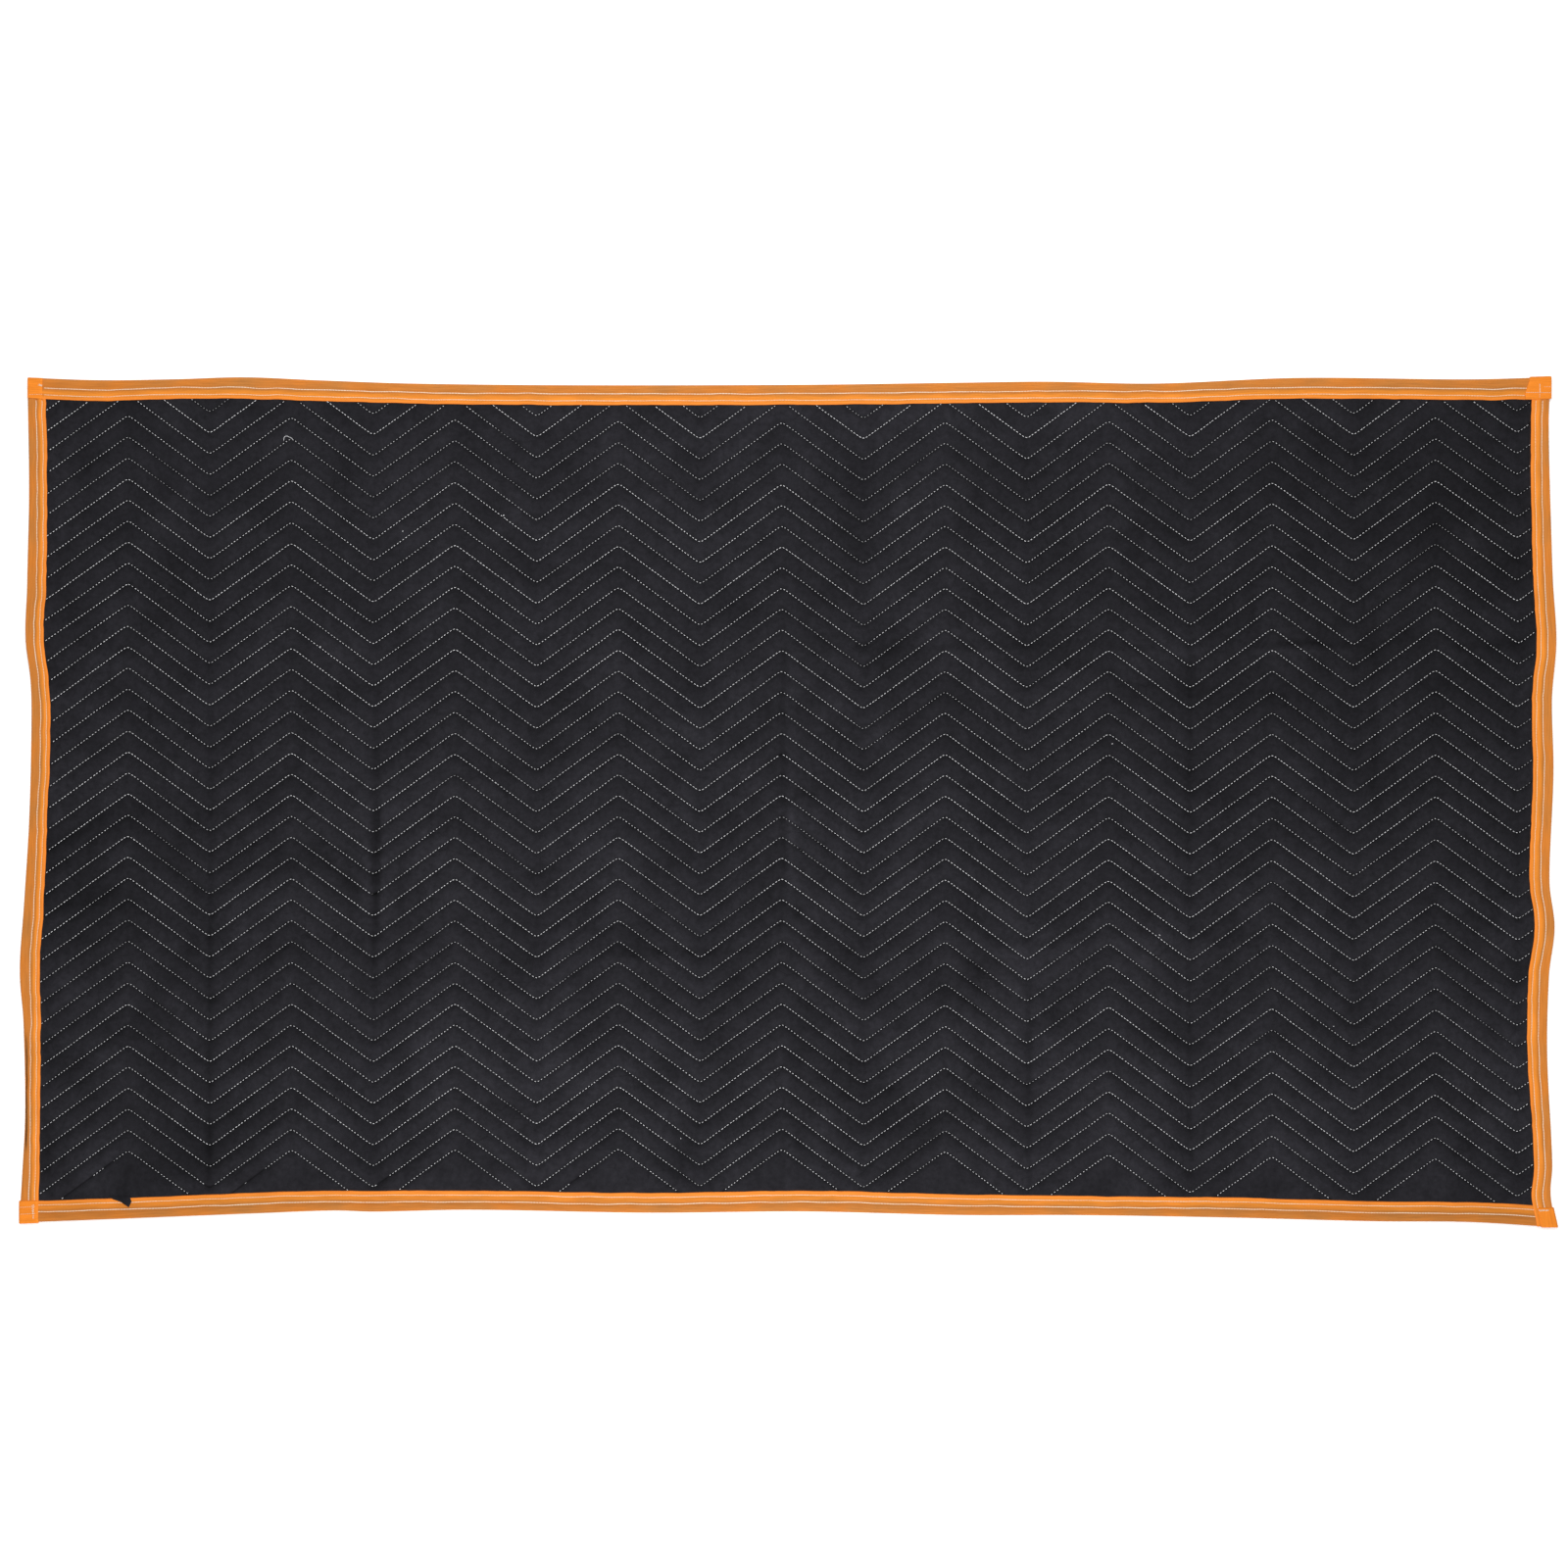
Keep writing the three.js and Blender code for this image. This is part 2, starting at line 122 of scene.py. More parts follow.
# Creases across the quilting, from one place to another.
# A trough has a positive depth and a ridge a negative one.
CREASES = table(
    ("x1", "y1", "x2", "y2", "half_width", "depth"),
    # down the pad, along the turns of the chevrons
    (-491, 150, -492, 60, 4, 0.7), (-492, 70, -492, -20, 4, 1.1), (-491, -10, -493, -96, 5, 2.4),
    (-492, -88, -494, -165, 5, 1.8), (-494, -160, -495, -280, 4, 0.9), (-482, 10, -483, -140, 4, -0.7),
    (-505, 0, -503, -150, 6, -0.9), (-463, -60, -465, -259, 4.5, 0.8), (-459, -270, -463, -380, 4.5, 1.5),
    (-452, -360, -454, -461, 4.5, 1.3), (-445, -300, -450, -420, 5, -0.6), (-690, 250, -690, 22, 3.5, 0.6),
    (-689, 30, -691, -180, 3.5, 0.8), (-690, -160, -692, -390, 4, 1.2), (-692, -380, -692, -462, 5, 1.4),
    (-5, 209, -6, 60, 4, 0.9), (-6, 70, -5, -60, 4, 0.8), (-5, -50, -8, -170, 4, 1.0),
    (4, 180, 3, -120, 5, -0.6), (480, 200, 481, 20, 4, 0.8), (478, 30, 480, -160, 4, 0.9),
    (480, -180, 481, -455, 3.5, 0.9), (288, -180, 288, -450, 3.5, 1.0), (700, 180, 702, -40, 4, 0.7),
    (872, -40, 873, -300, 4, 0.6), (-886, -380, -884, -470, 5, 1.0),
    # across it, along the old folds
    (72, 184, 190, 182, 5, 0.7), (180, 176, 400, 178, 5, -0.8), (190, 187, 330, 186, 4, 0.8),
    (330, 188, 430, 184, 4, 0.7), (545, 187, 655, 190, 4, 1.4), (560, 179, 640, 180, 4, -1.0),
    (440, 176, 569, 185, 5, -0.7), (616, 191, 698, 183, 4, 0.8), (288, 176, 393, 155, 5, 0.8),
    (329, 150, 429, 171, 5, -0.6), (148, 191, 241, 209, 6, -0.6), (245, -162, 330, -172, 5, 0.9),
    (250, -178, 300, -190, 6, -1.1), (317, -175, 464, -163, 6, -0.9), (470, -150, 600, -166, 5, 0.8),
    (500, -176, 640, -170, 6, -0.8), (212, -195, 276, -187, 5, 0.7), (-330, -146, -220, -152, 5, 0.8),
    (-286, -168, -192, -170, 4, 0.8), (-205, -179, -20, -177, 4, 1.3), (-262, -187, -133, -194, 6, -0.8),
    (-60, -160, 30, -150, 6, -0.6), (-850, -166, -760, -160, 5, 0.7), (-790, -172, -640, -158, 5, -0.6),
    (-895, 130, -800, 100, 8, -0.8),
    # bunched cloth here and there
    (-391, 31, -286, 38, 5, 0.7), (-426, 57, -356, 22, 5, -0.5), (-356, 197, -286, 150, 6, -0.5),
    (-345, 185, -300, 235, 4, 0.6), (548, 262, 560, 200, 4, 0.8), (-707, -101, -655, -195, 5, 0.6),
    (-670, -72, -635, -224, 5, -0.6), (-560, -60, -510, -110, 6, 1.0), (-585, -90, -520, -150, 6, -0.8),
    (-895, -60, -800, -10, 9, 1.3), (-890, -100, -790, -60, 9, -0.9), (-883, -131, -801, -105, 8, 1.0),
    (845, -100, 905, -120, 8, 1.0), (850, -150, 890, -90, 8, -0.8), (-869, 197, -766, 176, 6, 0.7),
    (-567, -306, -508, -388, 6, 0.5), (-391, -423, -321, -437, 6, 0.9), (-426, -447, -333, -452, 5, -0.8),
    (-380, -360, -300, -372, 5, 0.8), (-303, -388, -192, -367, 6, 0.6), (-239, -224, -169, -248, 6, 0.5),
    (-696, -423, -649, -456, 5, 0.8), (-730, -455, -640, -462, 5, -0.8), (-824, -441, -796, -466, 5, 0.8),
    (-789, -429, -793, -473, 5, 1.3), (54, -353, 148, -339, 6, 0.6), (230, -388, 335, -406, 6, 0.6),
    (440, -459, 534, -435, 6, 0.6), (756, -131, 874, -142, 6, 0.7), (803, 185, 885, 191, 6, 0.9),
)
CREASE_END = 0.18
# How far round a crease it is reckoned with, in its half widths and in its lengths
WIDTHS_BEYOND = 2.5
LENGTHS_BEYOND = 0.25

# Broad areas of painted light, above zero, and painted shade, below it, as a share of the cloth's colour
SHADES = table(
    ("x", "y", "reach_x", "reach_y", "share"),
    (803, 349, 190, 150, -0.2), (616, 256, 280, 190, -0.11), (499, 80, 110, 90, -0.09),
    (756, 92, 200, 120, -0.11), (-871, -107, 65, 60, -0.24), (-719, -37, 80, 230, -0.08),
    (-731, -435, 90, 60, -0.12), (77, -388, 100, 90, -0.09), (42, 303, 60, 70, -0.09),
    (288, 303, 90, 110, -0.06), (-766, 256, 140, 120, -0.06), (-497, -119, 50, 70, -0.1),
    (50, 470, 330, 50, 0.2), (-75, 338, 60, 80, 0.1), (-480, -10, 90, 45, 0.1),
    (-409, -60, 60, 60, 0.1), (-215, -70, 110, 60, 0.12), (-543, -254, 60, 70, 0.12),
    (-368, -365, 110, 90, 0.15), (-286, -260, 200, 120, 0.07), (382, -341, 120, 140, 0.1),
    (276, -166, 60, 60, 0.1), (639, -341, 70, 60, 0.12), (868, -306, 60, 120, 0.18),
    (-877, 68, 50, 80, 0.1),
)

# How much painted shade darkens the cloth at the bottom of a crease and on a sewn line, and how much
# painted light lightens it on a ridge. Each puff has painted light above its lower line and painted shade
# below its upper one, by ROLL_SHADE at the near and the far side of ROLL_SPAN.
CREASE_SHADE = 0.21
DEEPEST_SHADE = -1.9
HIGHEST_SHADE = 0.9
SEAM_SHADE = 0.66
ROLL_SHADE = (0.1, 0.055)
ROLL_SPAN = (-300, 300)

# Where the pad was folded across, by its height on the pad and its reach
OLD_FOLDS = ((186, 60), (-172, 70))

# Small puckers of the cloth: a chance of one anywhere, and what is added to it below and at
# the folds and where the chevrons fall
PUCKER_COUNT = 1500
PUCKERS_WITHIN = (880, 470)
PUCKER_LENGTH = (9, 26)
PUCKER_HALF_WIDTH = (2.6, 4.6)
PUCKER_DEPTH = (0.15, 0.5)
PUCKER_TURN = 0.45
CHANCE = 0.16
CHANCE_BELOW_FAR_FOLD = 0.3
CHANCE_AT_FOLD = 0.35
CHANCE_BELOW_NEAR_FOLD = 0.2
CHANCE_FALLING = 0.25

# Unevenness of the cloth, as (how much, in lumps of what size, seed)
PLUMPNESS = ((0.2, 60, 3), (0.16, 21, 4))
ROLLING = ((0.7, 170, 5), (0.5, 75, 6), (0.3, 33, 7))

# Meshing of the panel: columns of points, closer at the chevrons' turns, and rows of them between
# one sewn line and the next
COLUMNS_PER_HALF = 16
CLOSER_AT_TURNS = 0.45
ROW_PLACES = (0.0, 0.08, 0.28, 0.5, 0.72, 0.92)
COLUMNS_BEFORE_PEAK = 24
COLUMNS_AFTER_PEAK = 17 * 16 + 12
COVERS_HEM_BY = 1.5
HELD_IN_TAPE = 8.0
PRESSED_BEYOND = 0.15


# Curves and noise


def follow(rows, column, place):
    """A column of a table at any places, on a smooth curve through its rows."""
    at, value = rows["at"], rows[column]
    place = np.asarray(place, float)
    before = np.maximum(np.arange(len(at)) - 1, 0)
    after = np.minimum(np.arange(len(at)) + 1, len(at) - 1)
    slope = (value[after] - value[before]) / (at[after] - at[before])
    i = np.clip(np.searchsorted(at, place, side="right") - 1, 0, len(at) - 2)
    span = at[i + 1] - at[i]
    t = np.clip((place - at[i]) / span, 0, 1)
    return (
        (2 * t**3 - 3 * t**2 + 1) * value[i]
        + (t**3 - 2 * t**2 + t) * span * slope[i]
        + (3 * t**2 - 2 * t**3) * value[i + 1]
        + (t**3 - t**2) * span * slope[i + 1]
    )


def ease(value, low, high):
    """0 at a low value and 1 at a high one, with a smooth way between."""
    t = np.clip((value - low) / (high - low), 0, 1)
    return t * t * (3 - 2 * t)


def mix(a, b, t):
    return a + (b - a) * t


# How many lumps noise() has before it repeats, and how far its lattice is off from zero
NOISE_CELLS = 64
NOISE_OFFSET = (0.37, 0.71)


def noise(x, y, size, seed):
    """Smooth random values from -1 to 1, in lumps of about a size."""
    lattice = np.random.default_rng(seed).uniform(-1, 1, (NOISE_CELLS, NOISE_CELLS))
    u, v = (np.asarray(p, float) / size + offset for p, offset in zip((x, y), NOISE_OFFSET))
    i, j = np.floor(u).astype(int), np.floor(v).astype(int)
    s, t = ease(u - i, 0, 1), ease(v - j, 0, 1)

    def knot(a, b):
        return lattice[(i + a) % NOISE_CELLS, (j + b) % NOISE_CELLS]

    return mix(mix(knot(0, 0), knot(1, 0), s), mix(knot(0, 1), knot(1, 1), s), t)


def uneven(x, y, kinds):
    """Several kinds of noise together."""
    return sum(much * noise(x, y, size, seed) for much, size, seed in kinds)


# The shape of the pad


def swell(x, y):
    """How high the old folds hold the pad off the floor."""
    height = np.zeros(np.broadcast(x, y).shape)
    for fx, fy, rx, ry, h in rows_of(FOLD_SWELLS):
        away = np.clip(np.hypot((x - fx) / rx, (y - fy) / ry), 0, 1)
        height += h * np.cos(away * math.pi / 2) ** 2
    return height


class Side:
    """One side of the pad, with its edge, its tape's inner edge and places on its tape.

    ripple is how uneven the tape's hem is, the number after it how much darker its bands are, the
    outer one most, and rows how far its two rows of stitches are from its hem.
    """

    def __init__(self, name, edges, seed, ripple, worn, rows=(13.3, 5.2)):
        self.name, self.edges, self.seed = name, edges, seed
        self.ripple, self.worn, self.rows = ripple, worn, rows
        self.lengthwise = name in ("top", "bottom")
        self.outward = 1 if name in ("top", "right") else -1

    def edge(self, at):
        return self.outward * follow(self.edges, "out", at)

    def tape(self, at):
        wander = 0.5 * noise(at, 0, 23, 40 + self.seed) + self.ripple * noise(at, 0, 8, 45 + self.seed)
        return follow(self.edges, "tape", at) + wander

    def inner(self, at):
        return self.edge(at) - self.outward * self.tape(at)

    def flat(self, at, depth):
        across = self.edge(at) - self.outward * depth
        return (at, across) if self.lengthwise else (across, at)

    def along(self, points):
        return points[..., 0] if self.lengthwise else points[..., 1]


top = Side("top", TOP_EDGE, seed=3, ripple=0.2, worn=0.4)
bottom = Side("bottom", BOTTOM_EDGE, seed=6, ripple=0.2, worn=0.8)
left = Side("left", LEFT_EDGE, seed=4, ripple=0.5, worn=0.2, rows=(11.6, 4.6))
right = Side("right", RIGHT_EDGE, seed=5, ripple=0.4, worn=0)
SIDES = (top, bottom, left, right)


def corner(upright, level):
    """Where a short side's edge meets a long one's."""
    x, y = float(upright.edge(0)), float(level.edge(0))
    for _ in range(4):
        x, y = float(upright.edge(y)), float(level.edge(x))
    return x, y


def outline_middle():
    """The middle of the box round the pad's outline, which is the frame's origin."""
    along = np.linspace(-900, 900, 721)
    across = np.linspace(-490, 490, 393)
    corners = [corner(u, v) for u in (left, right) for v in (top, bottom)]
    xs = np.concatenate([left.edge(across), right.edge(across), [c[0] for c in corners]])
    ys = np.concatenate([top.edge(along), bottom.edge(along), [c[1] for c in corners]])
    return (xs.min() + xs.max()) / 2, (ys.min() + ys.max()) / 2


ORIGIN_X, ORIGIN_Y = outline_middle()


def inside_tapes(x, y):
    """Distance inwards to the nearest inner edge of the tapes."""
    return np.minimum(
        np.minimum(top.inner(x) - y, y - bottom.inner(x)),
        np.minimum(x - left.inner(y), right.inner(y) - x),
    )


def drawn_in(x, y):
    """Places, with those far beyond the inner edges of the tapes pressed closer to them."""
    y = np.minimum(y, mix(top.inner(x) + HELD_IN_TAPE, y, PRESSED_BEYOND))
    y = np.maximum(y, mix(bottom.inner(x) - HELD_IN_TAPE, y, PRESSED_BEYOND))
    x = np.minimum(x, mix(right.inner(y) + HELD_IN_TAPE, x, PRESSED_BEYOND))
    x = np.maximum(x, mix(left.inner(y) - HELD_IN_TAPE, x, PRESSED_BEYOND))
    return x, y


def rounded(distance):
    """A distance from a turn, a little more right at the turn, so that the turn is round."""
    return distance + TURN_SOFTNESS * np.exp(-distance / TURN_SOFTNESS)


def zigzag(x):
    """Height of the chevrons at a place. They run straight on down from the first peak."""
    phase = (x - FIRST_PEAK) / CHEVRON_HALF
    from_peak = np.where(phase < 0, -phase, np.abs(phase - 2 * np.round(phase / 2)))
    near_valley = 1 - rounded(np.abs(1 - from_peak))
    beyond = (from_peak < 0.5) | (phase < 0)
    return CHEVRON_RISE * (0.5 - np.where(beyond, rounded(from_peak), near_valley))


def line_y(line, x):
    middle = follow(LINE_GUIDES, "middle", x)
    upper = (follow(LINE_GUIDES, "upper", x) - middle) / LINES_TO_UPPER_GUIDE
    lower = (middle - follow(LINE_GUIDES, "lower", x)) / LINES_TO_LOWER_GUIDE
    return middle + line * np.where(line > 0, upper, lower) + zigzag(x)


def crease(x, y, start, end, half_width, depth):
    """A trough between two points, with soft ends."""
    (x1, y1), (x2, y2) = start, end
    length = math.hypot(x2 - x1, y2 - y1)
    along = ((x - x1) * (x2 - x1) + (y - y1) * (y2 - y1)) / length
    across = ((x - x1) * (y2 - y1) - (y - y1) * (x2 - x1)) / length
    share = along / length
    fade = ease(share, -CREASE_END, CREASE_END) * ease(1 - share, -CREASE_END, CREASE_END)
    return -depth * np.exp(-((across / half_width) ** 2)) * fade


def crease_list():
    """The creases seen on the pad, then the puckers strewn over it."""
    marks = [((x1, y1), (x2, y2), width, depth) for x1, y1, x2, y2, width, depth in rows_of(CREASES)]
    rng = np.random.default_rng(11)
    reach_x, reach_y = PUCKERS_WITHIN
    while len(marks) < PUCKER_COUNT + len(CREASES["x1"]):
        x, y = rng.uniform(-reach_x, reach_x), rng.uniform(-reach_y, reach_y)
        at_fold = sum(math.exp(-(((y - fold) / reach) ** 2)) for fold, reach in OLD_FOLDS)
        rising = zigzag(x + 1) > zigzag(x)
        chance = CHANCE + CHANCE_BELOW_FAR_FOLD * (y < 150) + CHANCE_AT_FOLD * at_fold
        chance += CHANCE_BELOW_NEAR_FOLD * (y < -150) + CHANCE_FALLING * (not rising)
        across_line = math.atan(CHEVRON_RISE / CHEVRON_HALF) * (1 if rising else -1) + math.pi / 2
        turn = across_line + rng.normal(0, PUCKER_TURN)
        length = rng.uniform(*PUCKER_LENGTH)
        width = rng.uniform(*PUCKER_HALF_WIDTH)
        depth = rng.uniform(*PUCKER_DEPTH) * rng.choice((-1, 1))
        if rng.uniform() > chance:
            continue
        step = (math.cos(turn) * length / 2, math.sin(turn) * length / 2)
        marks.append(((x - step[0], y - step[1]), (x + step[0], y + step[1]), width, depth))
    return marks


CREASE_LIST = crease_list()


def wrinkles(x, y):
    """All creases and puckers at an array of places."""
    height = np.zeros(x.shape)
    flat_x, flat_y, out = x.ravel(), y.ravel(), height.ravel()
    order = np.argsort(flat_x, kind="stable")
    sorted_x = flat_x[order]
    for start, end, width, depth in CREASE_LIST:
        reach = WIDTHS_BEYOND * width + LENGTHS_BEYOND * math.dist(start, end)
        low = np.searchsorted(sorted_x, min(start[0], end[0]) - reach)
        high = np.searchsorted(sorted_x, max(start[0], end[0]) + reach)
        some = order[low:high]
        beyond = np.abs(flat_y[some] - (start[1] + end[1]) / 2) - abs(start[1] - end[1]) / 2
        some = some[beyond < reach]
        out[some] += crease(flat_x[some], flat_y[some], start, end, width, depth)
    return out.reshape(x.shape)


def upper_height(x, y, puff, creased):
    """The upper face. puff goes from 0 on a line of stitches to 1 midway between two."""
    inwards = inside_tapes(x, y)
    lively = ease(inwards, 0, 45)
    crown = (CROWN_HEIGHT - SEAM_HEIGHT) * (1 + uneven(x, y, PLUMPNESS)) * mix(0.7, 1, lively)
    free = SEAM_HEIGHT + crown * puff + (uneven(x, y, ROLLING) + creased) * lively
    free = np.maximum(free, UNDERSIDE_SEAM + 1)
    tucked = ease(inwards, -1, TUCK_REACH)
    return swell(x, y) + mix(TUCKED_HEIGHT, free, tucked)


def lower_height(x, y, puff):
    """The underside: flat where it rests, and drawn up at each line of stitches."""
    free = UNDERSIDE_SEAM * (1 - puff)
    tucked = ease(inside_tapes(x, y), -1, TUCK_REACH)
    return swell(x, y) + mix(TUCKED_UNDERSIDE, free, tucked)


def broad_shade(x, y):
    """How much lighter or darker the cloth is over its broad areas."""
    shade = np.zeros(np.shape(x))
    for px, py, reach_x, reach_y, share in rows_of(SHADES):
        shade += share * np.exp(-(((x - px) / reach_x) ** 2) - ((y - py) / reach_y) ** 2)
    return shade


# Meshes


def mesh_object(name, points, faces, material, **values):
    """An object from points in millimetres and faces, in one array for each number of corners.

    values are numbers for each point, kept as attributes for its material.
    """
    points = np.asarray(points, float) - (ORIGIN_X, ORIGIN_Y, 0)
    faces = [np.asarray(f, np.int32) for f in faces]
    corners = np.concatenate([f.ravel() for f in faces])
    sizes = np.concatenate([np.full(len(f), f.shape[1]) for f in faces])
    starts = np.concatenate([[0], np.cumsum(sizes)[:-1]])
    mesh = bpy.data.meshes.new(name)
    mesh.vertices.add(len(points))
    mesh.vertices.foreach_set("co", (points * MM).astype(np.float32).ravel())
    mesh.loops.add(len(corners))
    mesh.loops.foreach_set("vertex_index", corners)
    mesh.polygons.add(len(sizes))
    mesh.polygons.foreach_set("loop_start", starts.astype(np.int32))
    mesh.polygons.foreach_set("loop_total", sizes.astype(np.int32))
    mesh.polygons.foreach_set("use_smooth", np.full(len(sizes), True))
    mesh.update(calc_edges=True)
    for key, value in values.items():
        layer = mesh.attributes.new(key, "FLOAT", "POINT")
        layer.data.foreach_set("value", np.asarray(value, np.float32).ravel())
    mesh.materials.append(material)
    obj = bpy.data.objects.new(name, mesh)
    bpy.context.scene.collection.objects.link(obj)
    return obj


def ring_faces(rings, count):
    """Quads joining each ring of points to the next, and a fan over each end."""
    r, i = np.meshgrid(np.arange(rings - 1), np.arange(count), indexing="ij")
    a, b = (r * count + i).ravel(), (r * count + (i + 1) % count).ravel()
    quads = np.stack([a, b, b + count, a + count], 1)
    fan = np.arange(1, count - 1)
    first_end = np.stack([0 * fan, fan + 1, fan], 1)
    last_end = np.stack([0 * fan, fan, fan + 1], 1) + (rings - 1) * count
    return quads, np.concatenate([first_end, last_end])


def plump_between(line):
    """0 on each sewn line and 1 midway between two, and loose below the lowest one."""
    loose = np.sin(np.clip(2 * (LOWEST_SEWN_LINE - line), 0, 1) * math.pi / 2)
    return np.where(line < LOWEST_SEWN_LINE, loose, np.sin((line - np.floor(line)) * math.pi))


def panel_shade(x, y, line, between, creased):
    """The cloth's colour at each point, 1 being plain, with painted light and shade in it."""
    shade = 1 + broad_shade(x, y) + CREASE_SHADE * np.clip(creased, DEEPEST_SHADE, HIGHEST_SHADE)
    shade -= SEAM_SHADE * (1 - ease(between, 0, 0.35))
    across = line - np.floor(line)
    rolled = (line > LOWEST_SEWN_LINE) & (across > 0)
    patchy = 1 + 0.7 * noise(x, y, 48, 15)
    return shade + mix(*ROLL_SHADE, ease(y, *ROLL_SPAN)) * patchy * np.cos(across * math.pi) * rolled


# The four sides of a cell: the step to the cell beyond, and the corners that the side runs between
CELL_SIDES = (
    ((-1, 0), (0, 0), (0, 1)),
    ((1, 0), (1, 1), (1, 0)),
    ((0, -1), (1, 0), (0, 0)),
    ((0, 1), (0, 1), (1, 1)),
)


def cell_quads(index, r, c):
    """Quads over cells of a grid of points."""
    return np.stack([index[r, c], index[r, c + 1], index[r + 1, c + 1], index[r + 1, c]], 1)


def panel_mesh(material):
    """The quilted panel as one closed mesh: a fine upper face and an underside twice as coarse."""
    lines = [k + f for k in range(LOWEST_LINE, HIGHEST_LINE) for f in ROW_PLACES] + [HIGHEST_LINE]
    half = np.arange(-COLUMNS_BEFORE_PEAK, COLUMNS_AFTER_PEAK + 1) / COLUMNS_PER_HALF
    half -= CLOSER_AT_TURNS * np.sin(2 * math.pi * half) / (2 * math.pi)
    x, line = np.meshgrid(FIRST_PEAK + CHEVRON_HALF * half, lines)
    y = line_y(line, x)
    covered = inside_tapes(x, y)
    x, y = drawn_in(x, y)
    between = plump_between(line)
    creased = wrinkles(x, y)
    upper = np.stack([x, y, upper_height(x, y, between**0.75, creased)], -1)
    lower = np.stack([x, y, lower_height(x, y, ease(between, 0, 0.75))], -1)[::2, ::2]
    shade = panel_shade(x, y, line, between, creased)

    # the coarse cells that show, or that reach a little way under a tape
    rows, columns = x.shape
    reach = [covered[i : rows - 2 + i : 2, j : columns - 2 + j : 2] for i in range(3) for j in range(3)]
    keep = np.max(reach, 0) > -COVERS_HEM_BY
    top_index = np.arange(x.size).reshape(x.shape)
    low_index = x.size + np.arange(lower[..., 0].size).reshape(lower.shape[:2])
    r, c = np.argwhere(keep).T
    quads = [cell_quads(top_index, 2 * r + dr, 2 * c + dc) for dr in (0, 1) for dc in (0, 1)]
    quads.append(cell_quads(low_index.T, c, r))

    # walls between the two faces, where a cell has none beyond it
    walls = []
    for beyond, (r1, c1), (r2, c2) in CELL_SIDES:
        neighbours = np.roll(np.pad(keep, 1), (-beyond[0], -beyond[1]), (0, 1))[1:-1, 1:-1]
        r, c = np.argwhere(keep & ~neighbours).T
        start, end = top_index[2 * (r + r1), 2 * (c + c1)], top_index[2 * (r + r2), 2 * (c + c2)]
        middle = top_index[2 * r + r1 + r2, 2 * c + c1 + c2]
        low_start, low_end = low_index[r + r1, c + c1], low_index[r + r2, c + c2]
        corners = (low_start, low_end, middle), (low_start, middle, start), (middle, low_end, end)
        walls += [np.stack(three, 1) for three in corners]
    quads, walls = np.concatenate(quads), np.concatenate(walls)

    used, where = np.unique(np.concatenate([quads.ravel(), walls.ravel()]), return_inverse=True)
    points = np.concatenate([upper.reshape(-1, 3), lower.reshape(-1, 3)])[used]
    shade = np.concatenate([shade.ravel(), np.ones(low_index.size)])[used]
    quads, walls = where[: quads.size].reshape(quads.shape), where[quads.size :].reshape(walls.shape)
    return mesh_object("quilted_cloth", points, [quads, walls], material, shade=shade)


# Threads

# The quilting's stitches: how long, wide and proud each one is, and how far it may sink
STITCH_LENGTH = 2.95
STITCH_WIDTH = 0.68
STITCH_RISE = 0.6
UNDER_RISE = -0.5
STITCH_SINK = 0.35
SUNK_DEPTH = 0.45
THREAD_STARTS_AT = 0.8
THREAD_SPAN = (-930.0, 930.0)
# Where the thread lies dimmer, towards the right tape
DIM_SPAN = (868, 880)

# Places where the quilting thread sinks out of sight in a fold
SUNK_PLACES = table(
    ("x", "y", "reach"),
    (-810, -435, 7), (-848, -461, 20), (-635, -447, 12), (-660, -463, 11),
    (-691, -459, 6), (-483, -456, 8), (-256, -450, 7), (-328, -433, 5),
    (-9, 60, 4), (-493, -20, 4), (-493, -110, 4),
)


def half_widths(along, width):
    """Steps of half a width, sideways from each stitch."""
    sideways = np.stack([-along[:, 1], along[:, 0], 0 * along[:, 0]], 1)
    return sideways * width / 2 / np.linalg.norm(sideways, axis=1, keepdims=True)


def spindle_faces(rings, count):
    """Faces of spindles, each with a tip, one or two rings of four points and another tip."""
    last = 4 * rings + 1
    quads, tris = [], []
    for i in range(4):
        near, far = 1 + i, 1 + (i + 1) % 4
        tris += [(0, far, near), (last, last - 5 + near, last - 5 + far)]
        if rings == 2:
            quads.append((near, far, far + 4, near + 4))
    first = (last + 1) * np.arange(count)[:, None, None]
    kinds = [np.array(kind) for kind in (quads, tris) if kind]
    return [(first + kind).reshape(-1, kind.shape[1]) for kind in kinds]


def capsules(starts, ends, width, rise, sink):
    """Stitches lying on a surface, each from a start to an end on it."""
    along = ends - starts
    half = half_widths(along, width)
    high = np.array([0, 0, rise])
    points = [starts - high * sink]
    for share in (0.2, 0.8):
        middle = starts + along * share
        points += [middle - half, middle - 0.55 * half + high, middle + 0.55 * half + high, middle + half]
    points = np.stack([*points, ends - high * sink], 1).reshape(-1, 3)
    return points, spindle_faces(2, len(starts))


def lozenges(starts, ends, width, rise):
    """Plainer stitches under a surface, with a diamond across their middle. rise is below zero."""
    half = half_widths(ends - starts, width)
    middle = (starts + ends) / 2
    high = np.array([0, 0, rise])
    points = [starts, middle - half, middle + high, middle + half, middle - 0.3 * high, ends]
    faces = [f[:, ::-1] for f in spindle_faces(1, len(starts))]
    return np.stack(points, 1).reshape(-1, 3), faces


def with_values(shape, values):
    """A shape with each stitch's value repeated for all its points."""
    points, faces = shape
    return points, faces, np.repeat(values, len(points) // len(values))


def join(shapes):
    """Several shapes as one. Each has points, faces, and a value or more for each point."""
    points, faces, *values = zip(*shapes)
    firsts = np.cumsum([0, *(len(some) for some in points)])
    kinds = {4: [], 3: []}
    for first, some in zip(firsts, faces):
        for f in some:
            kinds[f.shape[1]].append(f + first)
    faces = [np.concatenate(kind) for kind in kinds.values() if kind]
    return (np.concatenate(points), faces, *(np.concatenate(v) for v in values))


